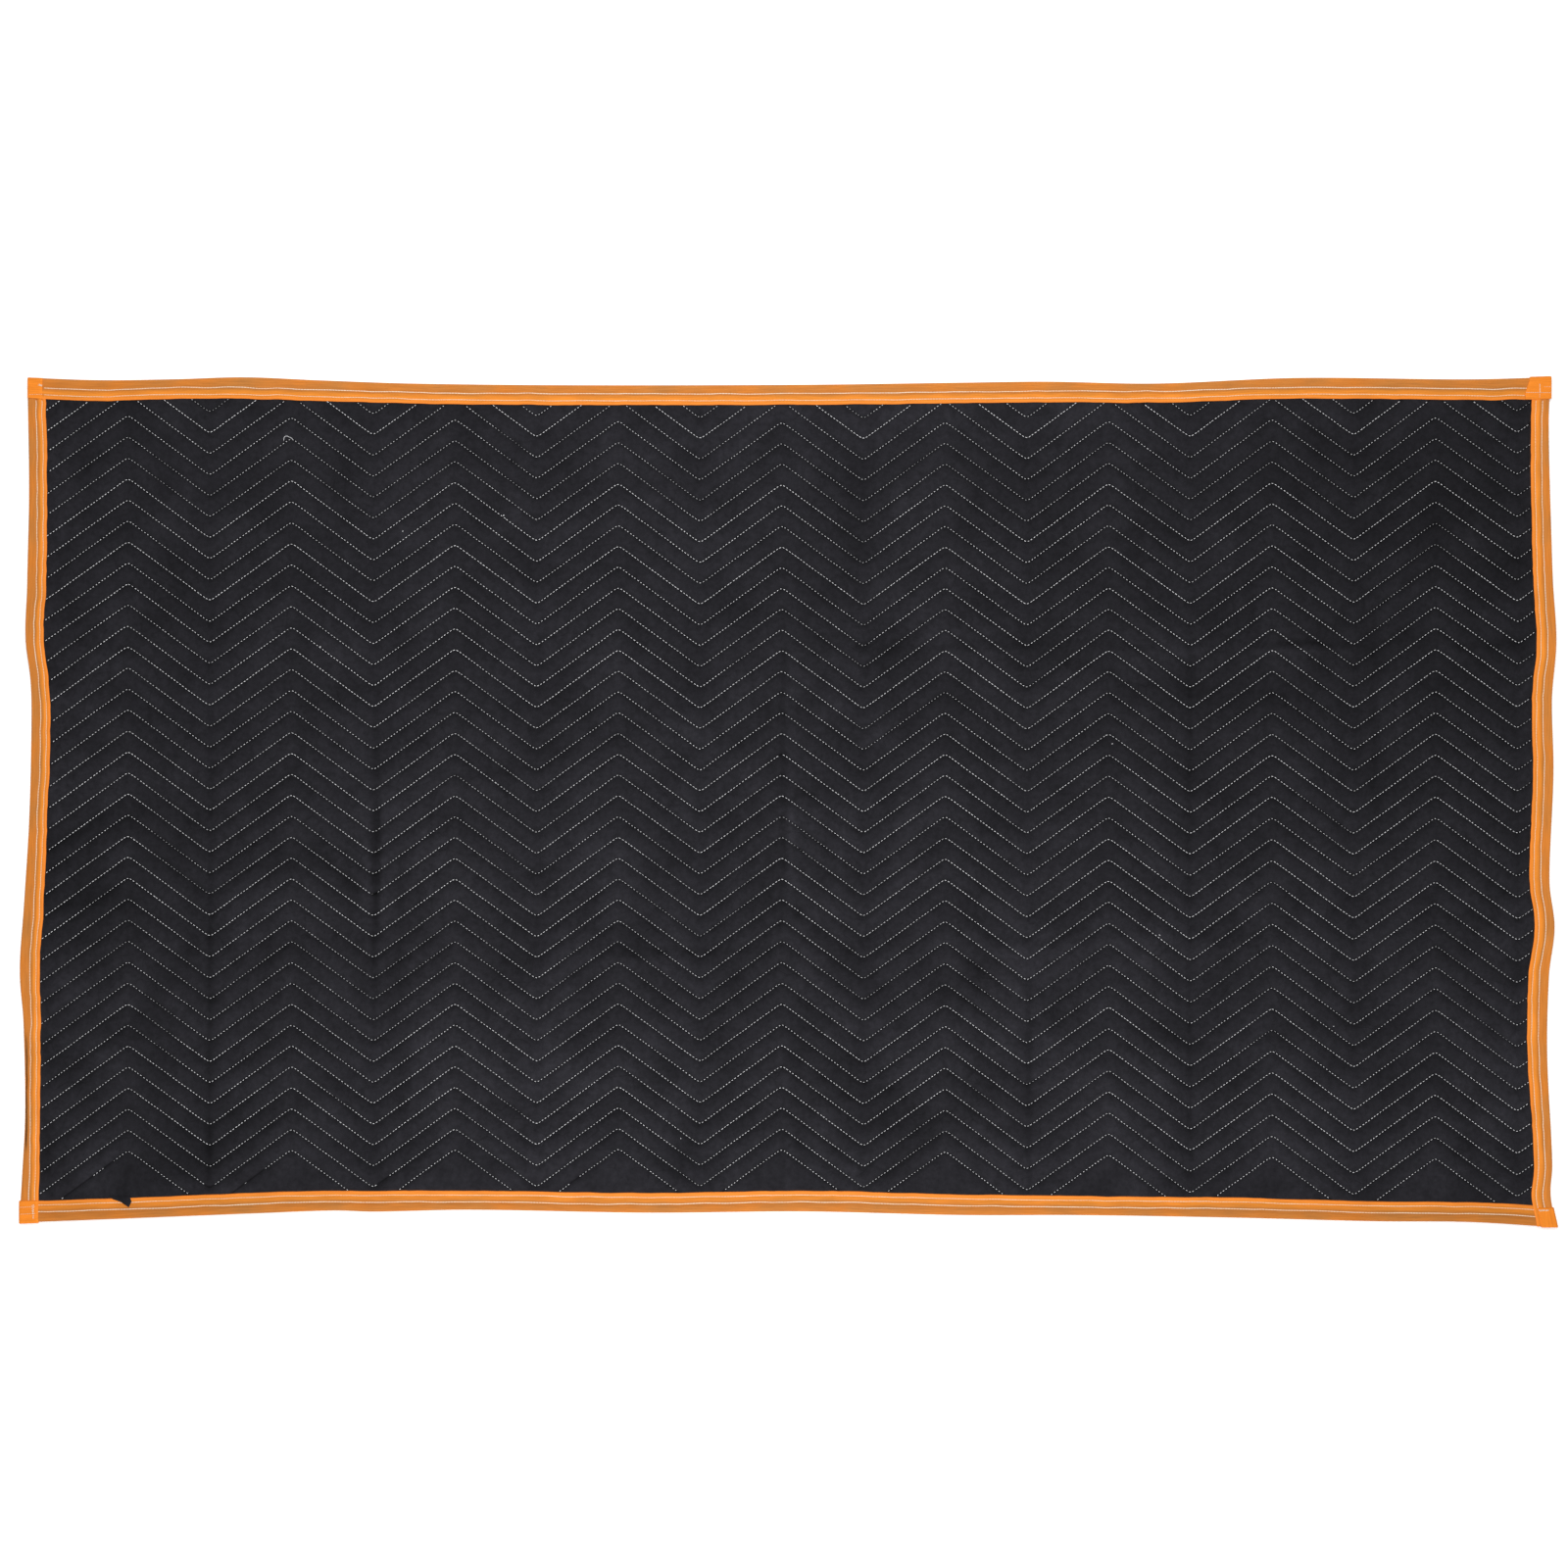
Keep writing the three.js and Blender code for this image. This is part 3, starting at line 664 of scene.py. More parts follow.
def quilting_stitches():
    """Every stitch of the quilting: where it starts and ends, its tone and how far it has sunk."""
    rng = np.random.default_rng(5)
    xs = np.arange(*THREAD_SPAN, 1.0)
    made = []
    for line in range(LOWEST_SEWN_LINE, HIGHEST_LINE + 1):
        along = np.concatenate([[0], np.cumsum(np.hypot(np.diff(xs), np.diff(line_y(line, xs))))])
        count = int(along[-1] / STITCH_PITCH) - 1
        middle = (np.arange(count) + rng.uniform(0.6, 1.4) + rng.normal(0, 0.04, count)) * STITCH_PITCH
        half = STITCH_LENGTH / 2 * rng.uniform(0.72, 1.08) * rng.uniform(0.85, 1.1, count)
        line_tone = rng.uniform(0.55, 0.95)
        wobble = 0.22 * noise(middle, 50 * line, 14, 8)
        x1, x2 = np.interp(middle - half, along, xs), np.interp(middle + half, along, xs)
        start, end = (np.stack([x, line_y(line, x) + wobble], 1) for x in (x1, x2))
        x, y = (start + end).T / 2
        sunk = ease(noise(middle, 37 * line, 85, 9), 0.55, 0.9)
        for px, py, reach in rows_of(SUNK_PLACES):
            sunk = np.maximum(sunk, 2.2 * (1 - ease(np.hypot(x - px, y - py), reach - 2, reach + 3)))
        tone = line_tone + 0.22 * noise(middle, 11 * line, 40, 10)
        tone += rng.uniform(-0.16, 0.16, count) - 0.3 * sunk - 0.25 * ease(x, *DIM_SPAN)
        made.append((start, end, np.clip(tone, 0.08, 1), SUNK_DEPTH * sunk))
    starts, ends, tones, depths = (np.concatenate(some) for some in zip(*made))
    keep = inside_tapes(*((starts + ends) / 2).T) > THREAD_STARTS_AT
    return starts[keep], ends[keep], tones[keep], depths[keep]


def on_surface(flat, height):
    return np.column_stack([flat, height])


def quilting_threads(material):
    """The thread on the upper face, in a far and a near half, and the one underneath."""
    *ends, tones, depths = quilting_stitches()
    far = ends[0][:, 1] > 0
    upper = [on_surface(flat, upper_height(*flat.T, 0, wrinkles(*flat.T)) - depths) for flat in ends]
    lower = [on_surface(flat, lower_height(*flat.T, 0)) for flat in ends]
    shapes = {}
    for name, some in (("quilting_thread_far", far), ("quilting_thread_near", ~far)):
        shape = capsules(upper[0][some], upper[1][some], STITCH_WIDTH, STITCH_RISE, STITCH_SINK)
        shapes[name] = with_values(shape, tones[some])
    shapes["quilting_thread_under"] = with_values(lozenges(*lower, STITCH_WIDTH, UNDER_RISE), tones)
    return [
        mesh_object(name, points, faces, material, tone=tone)
        for name, (points, faces, tone) in shapes.items()
    ]


# Tapes

# What a depth on a tape is measured from
EDGE_OF_PAD, OUTER_ROW, INNER_ROW, HEM = range(4)

# The furrow of a row of stitches beneath the tape
UNDER_ROW = ((1.1, 0.2), (0.0, 0.6), (-1.1, 0.2))

# The tape's section, from its nose over its top to its hem and back underneath: what each
# stretch is measured from, and its depths and heights
TAPE_SECTION = (
    (EDGE_OF_PAD, (0.0, 2.5), (0.15, 3.3), (0.55, 4.0), (1.3, 4.36), (3.0, 4.5)),
    (OUTER_ROW, (-5.0, 4.7), (-1.4, 4.56), (-0.55, 4.24), (0.0, 4.12)),
    (OUTER_ROW, (0.55, 4.28), (1.4, 4.64), (3.8, 4.85)),
    (INNER_ROW, (-1.4, 4.64), (-0.55, 4.28), (0.0, 4.14), (0.55, 4.3), (1.4, 4.7)),
    (HEM, (-2.0, 4.86), (-0.8, 4.78), (-0.2, 4.55), (0.0, 4.15), (0.0, 3.6)),
    (EDGE_OF_PAD, (FOLD_WALL + 0.3, 3.6), (FOLD_WALL, 3.3), (FOLD_WALL, 1.3), (FOLD_WALL + 0.3, 1.0)),
    (HEM, (0.0, 1.0), (0.0, 0.55), (-0.3, 0.3), (-1.0, 0.2)),
    (INNER_ROW, *UNDER_ROW),
    (OUTER_ROW, *UNDER_ROW),
    (EDGE_OF_PAD, (3.0, 0.22), (1.3, 0.4), (0.5, 0.9), (0.12, 1.7)),
)
SECTION_FROM = np.array([base for base, *points in TAPE_SECTION for _ in points])
SECTION_DEPTH, SECTION_HEIGHT = np.array([p for _, *points in TAPE_SECTION for p in points]).T
ON_TOP = SECTION_HEIGHT > 4
BENEATH = SECTION_HEIGHT < 0.7
TAPE_STATION = 5.0
TAPE_UNDER_NEIGHBOUR = 8.0
COVER_LIFT = 0.75
TAPE_TOP = 4.8
TAPE_MIDDLE = 2.6

# The rows of stitches along the tapes, on top and beneath
ROW_WIGGLE = 0.45
ROW_PITCH = 3.4
ROW_STITCH_LENGTH = 4.7
ROW_WIDTH = 1.35
ROW_HEIGHT = 4.21
ROW_RISE = 0.42
ROW_UNDERSIDE = 0.5
ROW_TONES = (0.8, 0.5)


def row_depth(side, at, row):
    """Depth of a row of stitches from the pad's edge: row 0 is the outer one."""
    return side.tape(at) - side.rows[row] + ROW_WIGGLE * noise(at, 90 * row, 31, 20 + side.seed)


def lift_over(side, at):
    """How far a tape stands up where it runs over the end of its neighbour."""
    lift = np.zeros(np.shape(at))
    for end, covers in zip(side.ends, side.covers):
        if covers:
            lift = lift + COVER_LIFT * (1 - ease(np.abs(at - end), 21, 26))
    return lift


def place(side, at, depth, height):
    """A point of a tape, from a place along it, a depth inwards and a height."""
    x, y = side.flat(at, depth)
    return np.stack([x, y, height + swell(*side.flat(at, side.tape(at) / 2))], -1)


def section_depths(side, at):
    base = np.stack([0 * at, row_depth(side, at, 0), row_depth(side, at, 1), side.tape(at)], -1)
    return base[:, SECTION_FROM] + SECTION_DEPTH


def puckered(side, at, depth):
    """Small unevenness of a tape's top."""
    return (
        0.2 * noise(at, depth, 19, 30 + side.seed)
        + 0.12 * noise(at, 2.2 * depth, 8.5, 31 + side.seed)
        + 0.1 * noise(at, 0.4 * depth, 52, 32)
    )


def tape_shape(side):
    """A tape's points and faces, each point's place along it and from its hem, and its band."""
    low, high = side.run
    at = np.linspace(low, high, int(round((high - low) / TAPE_STATION)) + 1)
    depth = section_depths(side, at)
    at_each = np.repeat(at[:, None], len(SECTION_FROM), 1)
    lift = lift_over(side, at)[:, None]
    height = SECTION_HEIGHT + np.where(ON_TOP, puckered(side, at_each, depth) + lift, 0)
    height -= np.where(BENEATH, 0.2 * ease(lift, 0, 0.5), 0)
    points = place(side, at_each, depth, height).reshape(-1, 3)
    from_hem = side.tape(at)[:, None] - depth
    band = ease(side.rows[0] - from_hem, 1.2, 5.2)
    return points, ring_faces(*depth.shape), at_each.ravel(), from_hem.ravel(), band.ravel()


def thread_row(side, row, span, seed, beneath):
    """A row of stitches along a tape, on its top or beneath it, with its tones."""
    rng = np.random.default_rng(seed)
    low, high = span
    count = int((high - low) / ROW_PITCH)
    middle = low + (np.arange(count) + 0.5) * (high - low) / count
    half = ROW_STITCH_LENGTH / 2 * rng.uniform(0.85, 1.05, count)
    tones = ROW_TONES[row] + 0.2 * noise(middle, 0, 38, seed) + rng.uniform(-0.1, 0.1, count)
    ends = []
    for at in (middle - half, middle + half):
        depth = row_depth(side, at, row)
        on_top = ROW_HEIGHT + puckered(side, at, depth) + lift_over(side, at)
        ends.append(place(side, at, depth, ROW_UNDERSIDE if beneath else on_top))
    if beneath:
        shape = lozenges(*ends, ROW_WIDTH, -ROW_RISE)
    else:
        shape = capsules(*ends, ROW_WIDTH, ROW_RISE, STITCH_SINK)
    return with_values(shape, np.clip(tones, 0.05, 1))


def cap_shape(side, inner, outer, out_by, hem_gap, slant, slant_stops):
    """The folded end of a tape over a corner, a little proud of the tape that it ends."""
    way = np.sign(outer - inner)
    length = abs(outer - inner)
    # distance outwards along the tape, share of the full thickness, and squeeze of the section
    stations = [(0.0, 0.15, 1.0), (0.35, 0.75, 1.0), (1.0, 1.0, 1.0)]
    stations += [(d, 1.0, 1.0) for d in np.arange(4.0, length - 2.0, 3.0)]
    stations += [(length - 1.1, 1.0, 1.0), (length - 0.35, 0.95, 0.93), (length, 0.8, 0.72)]
    rings = []
    for along, share, squeeze in stations:
        at0 = inner + way * along
        depth = section_depths(side, np.array([at0]))[0]
        width = float(side.tape(at0))
        at = at0 - way * slant * (1 - along / length) * np.clip(depth / width, 0, slant_stops)
        depth = mix(-out_by * share, width - hem_gap, depth / width)
        grooved = TAPE_TOP - 0.35 * ease(0.9 - depth, 0, 1.6)
        raised = grooved + (COVER_LIFT + 0.55) * share + 0.12 * noise(at, 3 * depth, 7, 50)
        height = np.where(ON_TOP, raised, SECTION_HEIGHT) - 0.2 * BENEATH
        rings.append(place(side, at, depth, TAPE_MIDDLE + (height - TAPE_MIDDLE) * squeeze))
    points = np.stack(rings)
    at_each = side.along(points).ravel()
    from_hem = np.tile(side.tape(inner) - section_depths(side, np.array([inner]))[0], len(rings))
    return points.reshape(-1, 3), ring_faces(*points.shape[:2]), at_each, from_hem, 0 * at_each + CAP_BAND


# Corners

FAR_LEFT, FAR_RIGHT = corner(left, top), corner(right, top)
NEAR_LEFT, NEAR_RIGHT = corner(left, bottom), corner(right, bottom)
END_INSET = 1.6

# Where each tape runs, which of its ends lie over a neighbour, and where the pad ends there
top.ends, top.covers = (FAR_LEFT[0], FAR_RIGHT[0]), (True, True)
bottom.ends, bottom.covers = (NEAR_LEFT[0], NEAR_RIGHT[0]), (True, False)
left.ends, left.covers = (NEAR_LEFT[1], FAR_LEFT[1]), (False, False)
right.ends, right.covers = (NEAR_RIGHT[1], FAR_RIGHT[1]), (True, False)


def beneath_neighbour(neighbour, at):
    """Where a tape's end lies, a little way in under its neighbour's hem."""
    return float(neighbour.inner(at)) + neighbour.outward * TAPE_UNDER_NEIGHBOUR


top.run = (top.ends[0] + END_INSET, top.ends[1] - END_INSET)
bottom.run = (bottom.ends[0] + END_INSET, beneath_neighbour(right, NEAR_RIGHT[1]))
left.run = (beneath_neighbour(bottom, NEAR_LEFT[0]), beneath_neighbour(top, FAR_LEFT[0]))
right.run = (right.ends[0] + END_INSET, beneath_neighbour(top, FAR_RIGHT[0]))

# The folded ends over the corners: the tape, from where to where they lie along it, how far
# they stand out past the edge, how far short of the hem they stop, and how much their first
# edge slants, as far as a share of the tape's width
CAPS = (
    (top, -890.5, -908.6, 0.3, 0, 0, 1),
    (top, 887.0, 912.4, 1.3, 0.6, 8.5, 0.75),
    (bottom, -895.6, -918.8, 1.6, 0.3, 0, 1),
    (right, -484.4, -508.4, 1.8, 5.6, 0, 1),
)
# What tape_cloth() knows the folded ends by, above the 0 to 1 across a tape's two bands
CAP_BAND = 2.0

# Short runs of stitches over the corners, from one place to another:
# how many times the needle went over them, and how bright they are
CORNER_STITCHING = table(
    ("x1", "y1", "x2", "y2", "passes", "tone"),
    (-894.4, 499.2, -891.0, 496.2, 3, 0.9), (-894.8, 497.6, -890.6, 498.0, 2, 0.8),
    (-906.5, 486.6, -890.0, 487.0, 1, 0.35), (897.8, 499.2, 898.2, 489.6, 3, 0.8),
    (898.0, 489.6, 897.6, 482.4, 1, 0.4), (902.8, 496.0, 911.0, 496.0, 1, 0.4),
    (881.0, 489.2, 911.0, 488.9, 1, 0.55), (-901.0, -480.6, -901.4, -497.6, 2, 0.95),
    (-903.0, -481.0, -902.6, -490.0, 1, 0.5), (-917.0, -484.0, -898.5, -483.0, 1, 0.4),
    (-916.6, -492.2, -898.5, -491.2, 1, 0.4), (896.6, -487.2, 908.9, -487.8, 3, 0.9),
    (898.0, -488.6, 907.5, -486.9, 1, 0.8),
)
CAP_TOP = TAPE_TOP + COVER_LIFT + 0.5
# Width, rise and sink of a corner's stitches, how far apart they are and half their length
CORNER_STITCH = (0.95, 0.42, 0.9)
CORNER_PITCH = 2.6
CORNER_HALF_LENGTH = 1.25


def corner_stitches():
    """The knots and overlapping stitches at the corners, with their tones."""
    rng = np.random.default_rng(61)
    made = []
    for x1, y1, x2, y2, passes, tone in rows_of(CORNER_STITCHING):
        start, step = np.array([x1, y1]), np.array([x2 - x1, y2 - y1])
        length = math.hypot(*step)
        count = max(1, round(length / CORNER_PITCH))
        half = CORNER_HALF_LENGTH / length
        for _ in range(int(passes)):
            share = ((np.arange(count) + rng.uniform(0.3, 0.7)) / count)[:, None]
            off = rng.normal(0, 0.22, (count, 2)) * (passes > 1)
            tones = np.clip(tone + rng.uniform(-0.1, 0.1, count), 0.05, 1)
            made.append((start + step * (share - half) + off, start + step * (share + half) + off, tones))
    *ends, tones = (np.concatenate(some) for some in zip(*made))
    ends = [on_surface(flat, CAP_TOP + rng.uniform(0, 0.25, len(flat))) for flat in ends]
    return with_values(capsules(*ends, *CORNER_STITCH), tones)


def tapes(material):
    """The four tapes, each with its folded ends over the corners."""
    made = {}
    for side in SIDES:
        shapes = [tape_shape(side)]
        shapes += [cap_shape(*cap) for cap in CAPS if cap[0] is side]
        points, faces, along, from_hem, band = join(shapes)
        values = dict(along=along, from_hem=from_hem, band=band, worn=np.full(len(points), side.worn))
        name = "tape_" + side.name
        made[side.name] = mesh_object(name, points, facing_out(points, faces), material, **values)
    return made


def facing_out(points, faces):
    """The faces, turned over if they enclose a negative volume."""
    volume = 0
    for f in faces:
        for i in range(1, f.shape[1] - 1):
            a, b, c = points[f[:, 0]], points[f[:, i]], points[f[:, i + 1]]
            volume += np.einsum("ij,ij->i", a, np.cross(b, c)).sum()
    return faces if volume > 0 else [f[:, ::-1] for f in faces]


# Where each tape's outer and inner row of stitches run from and to
ROW_SPANS = {
    "top": ((-889.0, 884.5), (-889.0, 881.0)),
    "bottom": ((-897.0, 893.5), (-897.0, 893.5)),
    "left": ((-476.0, 480.0), (-476.0, 480.0)),
    "right": ((-485.5, 480.0), (-485.5, 480.0)),
}


def tape_threads(material):
    """The two rows of stitches along each tape on both faces, and the stitches at the corners."""
    rows = [(side, row, beneath) for side in SIDES for row in (0, 1) for beneath in (False, True)]
    shapes = [
        thread_row(side, row, ROW_SPANS[side.name][row], seed, beneath)
        for seed, (side, row, beneath) in enumerate(rows, 71)
    ]
    points, faces, tone = join([*shapes, corner_stitches()])
    return mesh_object("tape_thread", points, faces, material, tone=tone)


# Small things that show on the pad


# A thin patch's rings of points, from its upper face round its rim to its underside: how far
# out from its middle each one is, and how far below its upper face in thicknesses
PATCH_RINGS = ((0.4, 0), (0.7, 0), (0.88, 0), (1.0, 0.45), (1.0, 0.8), (0.8, 1))


def rounded_patch(outline, height_at, thickness, step):
    """A thin soft piece over an outline: points and faces. height_at gives its upper face."""
    edge = []
    for a, b in zip(outline, np.roll(outline, -1, 0)):
        count = max(2, int(np.linalg.norm(b - a) / step))
        edge += [a + (b - a) * i / count for i in range(count)]
    edge = np.array(edge)
    middle = edge.mean(0)
    rings = []
    for share, below in PATCH_RINGS:
        flat = middle + (edge - middle) * share
        rings.append(on_surface(flat, height_at(*flat.T) - thickness * below))
    top_point = on_surface(middle[None], height_at(*middle[None].T))
    points = np.concatenate([*rings, top_point, top_point - (0, 0, thickness)])
    count, end = len(edge), len(edge) * len(rings)
    i = np.arange(count)
    after = (i + 1) % count
    rim = np.stack([i, count + i, count + after, after], 1)
    quads = np.concatenate([rim + k * count for k in range(len(rings) - 1)])
    over = np.stack([0 * i + end, i, after], 1)
    under = np.stack([0 * i + end + 1, end - count + after, end - count + i], 1)
    return points, facing_out(points, [quads, np.concatenate([over, under])])


# The outline of the pleat's tongue
TONGUE = np.array([
    (-812.0, -470.5), (-806.8, -474.4), (-797.0, -477.6),
    (-787.4, -484.2), (-784.2, -477.4), (-786.6, -470.5),
])


def pleat_tongue(material):
    """A corner of the face cloth that was left folded out over the near tape."""

    def height_at(x, y):
        onto_tape = ease(bottom.inner(x) - y, -3.0, 0.5)
        return mix(4.6, TAPE_TOP + 1.0, onto_tape) + 0.25 * noise(x, y, 6, 81) + swell(x, y)

    points, faces = rounded_patch(TONGUE, height_at, thickness=1.3, step=1.2)
    return mesh_object("pleat_tongue", points, faces, material, shade=np.ones(len(points)))


# The loose loop of thread, by its places from one end to the other and its height off the cloth
THREAD_LOOP = (
    (-592.0, 434.2, 0.4), (-595.0, 435.8, 0.7), (-598.2, 437.3, 1.3), (-600.8, 437.0, 1.7),
    (-602.0, 435.0, 1.5), (-602.3, 432.6, 0.9), (-603.6, 430.6, 0.3),
)
LOOP_RADIUS = 0.32
LOOP_SIDES = 6
LOOP_RINGS = 31


def thread_loop(material):
    """A round tube along the loop."""
    rough = np.array(THREAD_LOOP)
    share = np.linspace(0, len(rough) - 1, LOOP_RINGS)
    path = np.stack([np.interp(share, np.arange(len(rough)), column) for column in rough.T], 1)
    for _ in range(3):
        path[1:-1] = (path[:-2] + 2 * path[1:-1] + path[2:]) / 4
    path[:, 2] += upper_height(path[:, 0], path[:, 1], 0.1, 0)
    along = np.gradient(path, axis=0)
    along /= np.linalg.norm(along, axis=1, keepdims=True)
    across = np.cross(along, (0, 0, 1))
    across /= np.linalg.norm(across, axis=1, keepdims=True)
    above = np.cross(across, along)
    rings = []
    for i in range(LOOP_SIDES):
        turn = 2 * math.pi * i / LOOP_SIDES
        rings.append(path + LOOP_RADIUS * (math.cos(turn) * across + math.sin(turn) * above))
    points = np.stack(rings, 1).reshape(-1, 3)
    faces = facing_out(points, list(ring_faces(len(path), LOOP_SIDES)))
    return mesh_object("thread_loop", points, faces, material, tone=np.full(len(points), 0.7))


# Bits of lint on the cloth: place, length, width and the turn of the bit
LINT = (
    (-339.6, 342.4, 2.4, 1.4, 0.3), (-460.2, 323.7, 2.0, 1.2, 1.2), (-558.6, 185.5, 2.2, 1.3, 2.0),
    (387.6, 69.6, 2.0, 1.3, 0.7), (443.8, -158.8, 2.2, 1.2, 2.6), (-128.0, -402.0, 1.6, 1.0, 1.7),
    (652.0, -268.0, 1.6, 1.0, 0.2),
)


def lint(material):
    rng = np.random.default_rng(91)
    angle = np.linspace(0, 2 * math.pi, 9)[:-1]
    shapes = []

    def height_at(u, v):
        return upper_height(u, v, 0.93, wrinkles(u, v)) + 0.35

    for x, y, length, width, turn in LINT:
        reach = rng.uniform(0.75, 1.1, len(angle))
        px, py = length / 2 * np.cos(angle) * reach, width / 2 * np.sin(angle) * reach
        cos, sin = math.cos(turn), math.sin(turn)
        outline = np.column_stack([x + px * cos - py * sin, y + px * sin + py * cos])
        points, faces = rounded_patch(outline, height_at, thickness=0.8, step=5)
        shapes.append((points, faces, np.full(len(points), 0.5)))
    points, faces, tone = join(shapes)
    return mesh_object("lint", points, faces, material, tone=tone)


# Materials


class Shading:
    """A new material, with short calls for its nodes. Colours are linear."""

    def __init__(self, name):
        self.material = bpy.data.materials.new(name)
        self.material.use_nodes = True
        self.tree = self.material.node_tree
        self.bsdf = self.tree.nodes["Principled BSDF"]
        self.place = self.node("TexCoord").outputs["Object"]

    def node(self, kind, inputs=(), **settings):
        made = self.tree.nodes.new("ShaderNode" + kind)
        for key, value in settings.items():
            setattr(made, key, value)
        for key, value in dict(inputs).items():
            self.put(made.inputs[key], value)
        return made

    def put(self, socket, value):
        if isinstance(value, bpy.types.NodeSocket):
            self.tree.links.new(value, socket)
        else:
            socket.default_value = value

    def set(self, **values):
        for key, value in values.items():
            self.put(self.bsdf.inputs[key.replace("_", " ")], value)

    def attribute(self, name):
        return self.node("Attribute", attribute_name=name).outputs["Fac"]

    def math(self, operation, a, b=0.0, c=0.0):
        return self.node("Math", {0: a, 1: b, 2: c}, operation=operation).outputs[0]

    def ramp(self, value, low, high, to_low=0.0, to_high=1.0):
        names = ("Value", "From Min", "From Max", "To Min", "To Max")
        sockets = dict(zip(names, (value, low, high, to_low, to_high)))
        return self.node("MapRange", sockets).outputs["Result"]

    def vector(self, operation, a, b, c=(0, 0, 0)):
        return self.node("VectorMath", {0: a, 1: b, 2: c}, operation=operation).outputs[0]

    def colour(self, share, a, b):
        """A mix of two colours by a share."""
        return self.node("Mix", {0: share, 6: a, 7: b}, data_type="RGBA").outputs[2]

    def scaled(self, colour, share):
        """A colour made darker or lighter by a factor."""
        if isinstance(colour, tuple):
            colour = colour[:3]
        return self.node("VectorMath", {0: colour, "Scale": share}, operation="SCALE").outputs[0]

    def lumps(self, size, stretch=(1, 1, 1), detail=2.0, place=None, roughness=0.5):
        """Noise from 0 to 1 in lumps of a size in metres."""
        stretched = self.vector("MULTIPLY", self.place if place is None else place, stretch)
        sockets = {"Vector": stretched, "Scale": 1 / size, "Detail": detail, "Roughness": roughness}
        return self.node("TexNoise", sockets).outputs["Fac"]

    def crinkles(self, size, width):
        """1 along a net of fine creases, in cells of about a size, and 0 between them."""
        wander = self.node("TexNoise", {"Vector": self.place, "Scale": 1.3 / size, "Detail": 2.0})
        shift = (0.3 * size, 0.3 * size, 0)
        shifted = self.vector("MULTIPLY_ADD", wander.outputs["Color"], shift, self.place)
        sockets = {"Vector": shifted, "Scale": 1 / size}
        cells = self.node("TexVoronoi", sockets, feature="DISTANCE_TO_EDGE")
        return self.ramp(cells.outputs["Distance"], 0, width / size, 1, 0)

    def threads(self, pitch, direction, place=None):
        """Ridges from 0 to 1 across a direction, a pitch in metres apart."""
        # one unit of a wave texture at a scale of 1 holds 20 radians
        sockets = {"Vector": self.place if place is None else place, "Distortion": 0.6, "Detail": 1.0}
        sockets["Scale"] = 2 * math.pi / 20 / pitch
        return self.node("TexWave", sockets, bands_direction=direction).outputs["Fac"]

    def bump(self, height, distance, strength=1.0, under=None):
        sockets = {"Height": height, "Distance": distance, "Strength": strength}
        if under is not None:
            sockets["Normal"] = under
        return self.node("Bump", sockets).outputs["Normal"]

    def pair(self, along, across):
        """A texture place from two lengths in millimetres."""
        lengths = {0: self.math("MULTIPLY", along, MM), 1: self.math("MULTIPLY", across, MM)}
        return self.node("CombineXYZ", lengths).outputs[0]


def rgb(r, g, b):
    return (r, g, b, 1.0)


def quilt_cloth():
    """Black plain weave, dull, mottled and finely creased."""
    s = Shading("quilt_cloth")
    cloudy = s.ramp(s.lumps(0.11, detail=2.0), 0.25, 0.75, 0.85, 1.15)
    patchy = s.math("MULTIPLY", cloudy, s.ramp(s.lumps(0.05, detail=3.0), 0.25, 0.75, 0.75, 1.25))
    fine = s.ramp(s.lumps(0.0065, detail=4.0, roughness=0.7), 0.25, 0.75, 0.68, 1.32)
    rumpled = s.ramp(s.lumps(0.017, (1.5, 0.8, 1.0), detail=3.0, roughness=0.6), 0.3, 0.7, 0.92, 1.08)
    mottled = s.math("MULTIPLY", fine, rumpled)
    crinkle = s.math("MULTIPLY", s.crinkles(0.026, 0.0013), s.ramp(s.lumps(0.06), 0.45, 0.68))
    weave = s.math("MULTIPLY", s.threads(0.0011, "X"), s.threads(0.00095, "Y"))
    base = s.scaled(rgb(0.0129, 0.0124, 0.0152), s.math("MULTIPLY", patchy, mottled))
    # painted light and shade from the shade attribute, and painted shade along the fine crinkles
    base = s.scaled(base, s.math("MULTIPLY", s.attribute("shade"), s.ramp(crinkle, 0, 1, 1, 0.85)))
    base = s.scaled(base, s.ramp(weave, 0, 1, 0.85, 1.15))
    crinkled = s.bump(s.ramp(crinkle, 0, 1, 1, 0), 0.0006, 0.6)
    creased = s.bump(s.lumps(0.011, (1.0, 0.55, 1.0), detail=3.0), 0.0019, 0.9, crinkled)
    slubs = s.bump(s.lumps(0.0032, (0.3, 1.0, 1.0), detail=2.0), 0.0003, 0.6, creased)
    s.set(
        Base_Color=base,
        Roughness=0.88,
        Specular_IOR_Level=0.06,
        Sheen_Weight=0.04,
        Sheen_Roughness=0.5,
        Normal=s.bump(weave, 0.00016, 0.8, slubs),
    )
    return s.material


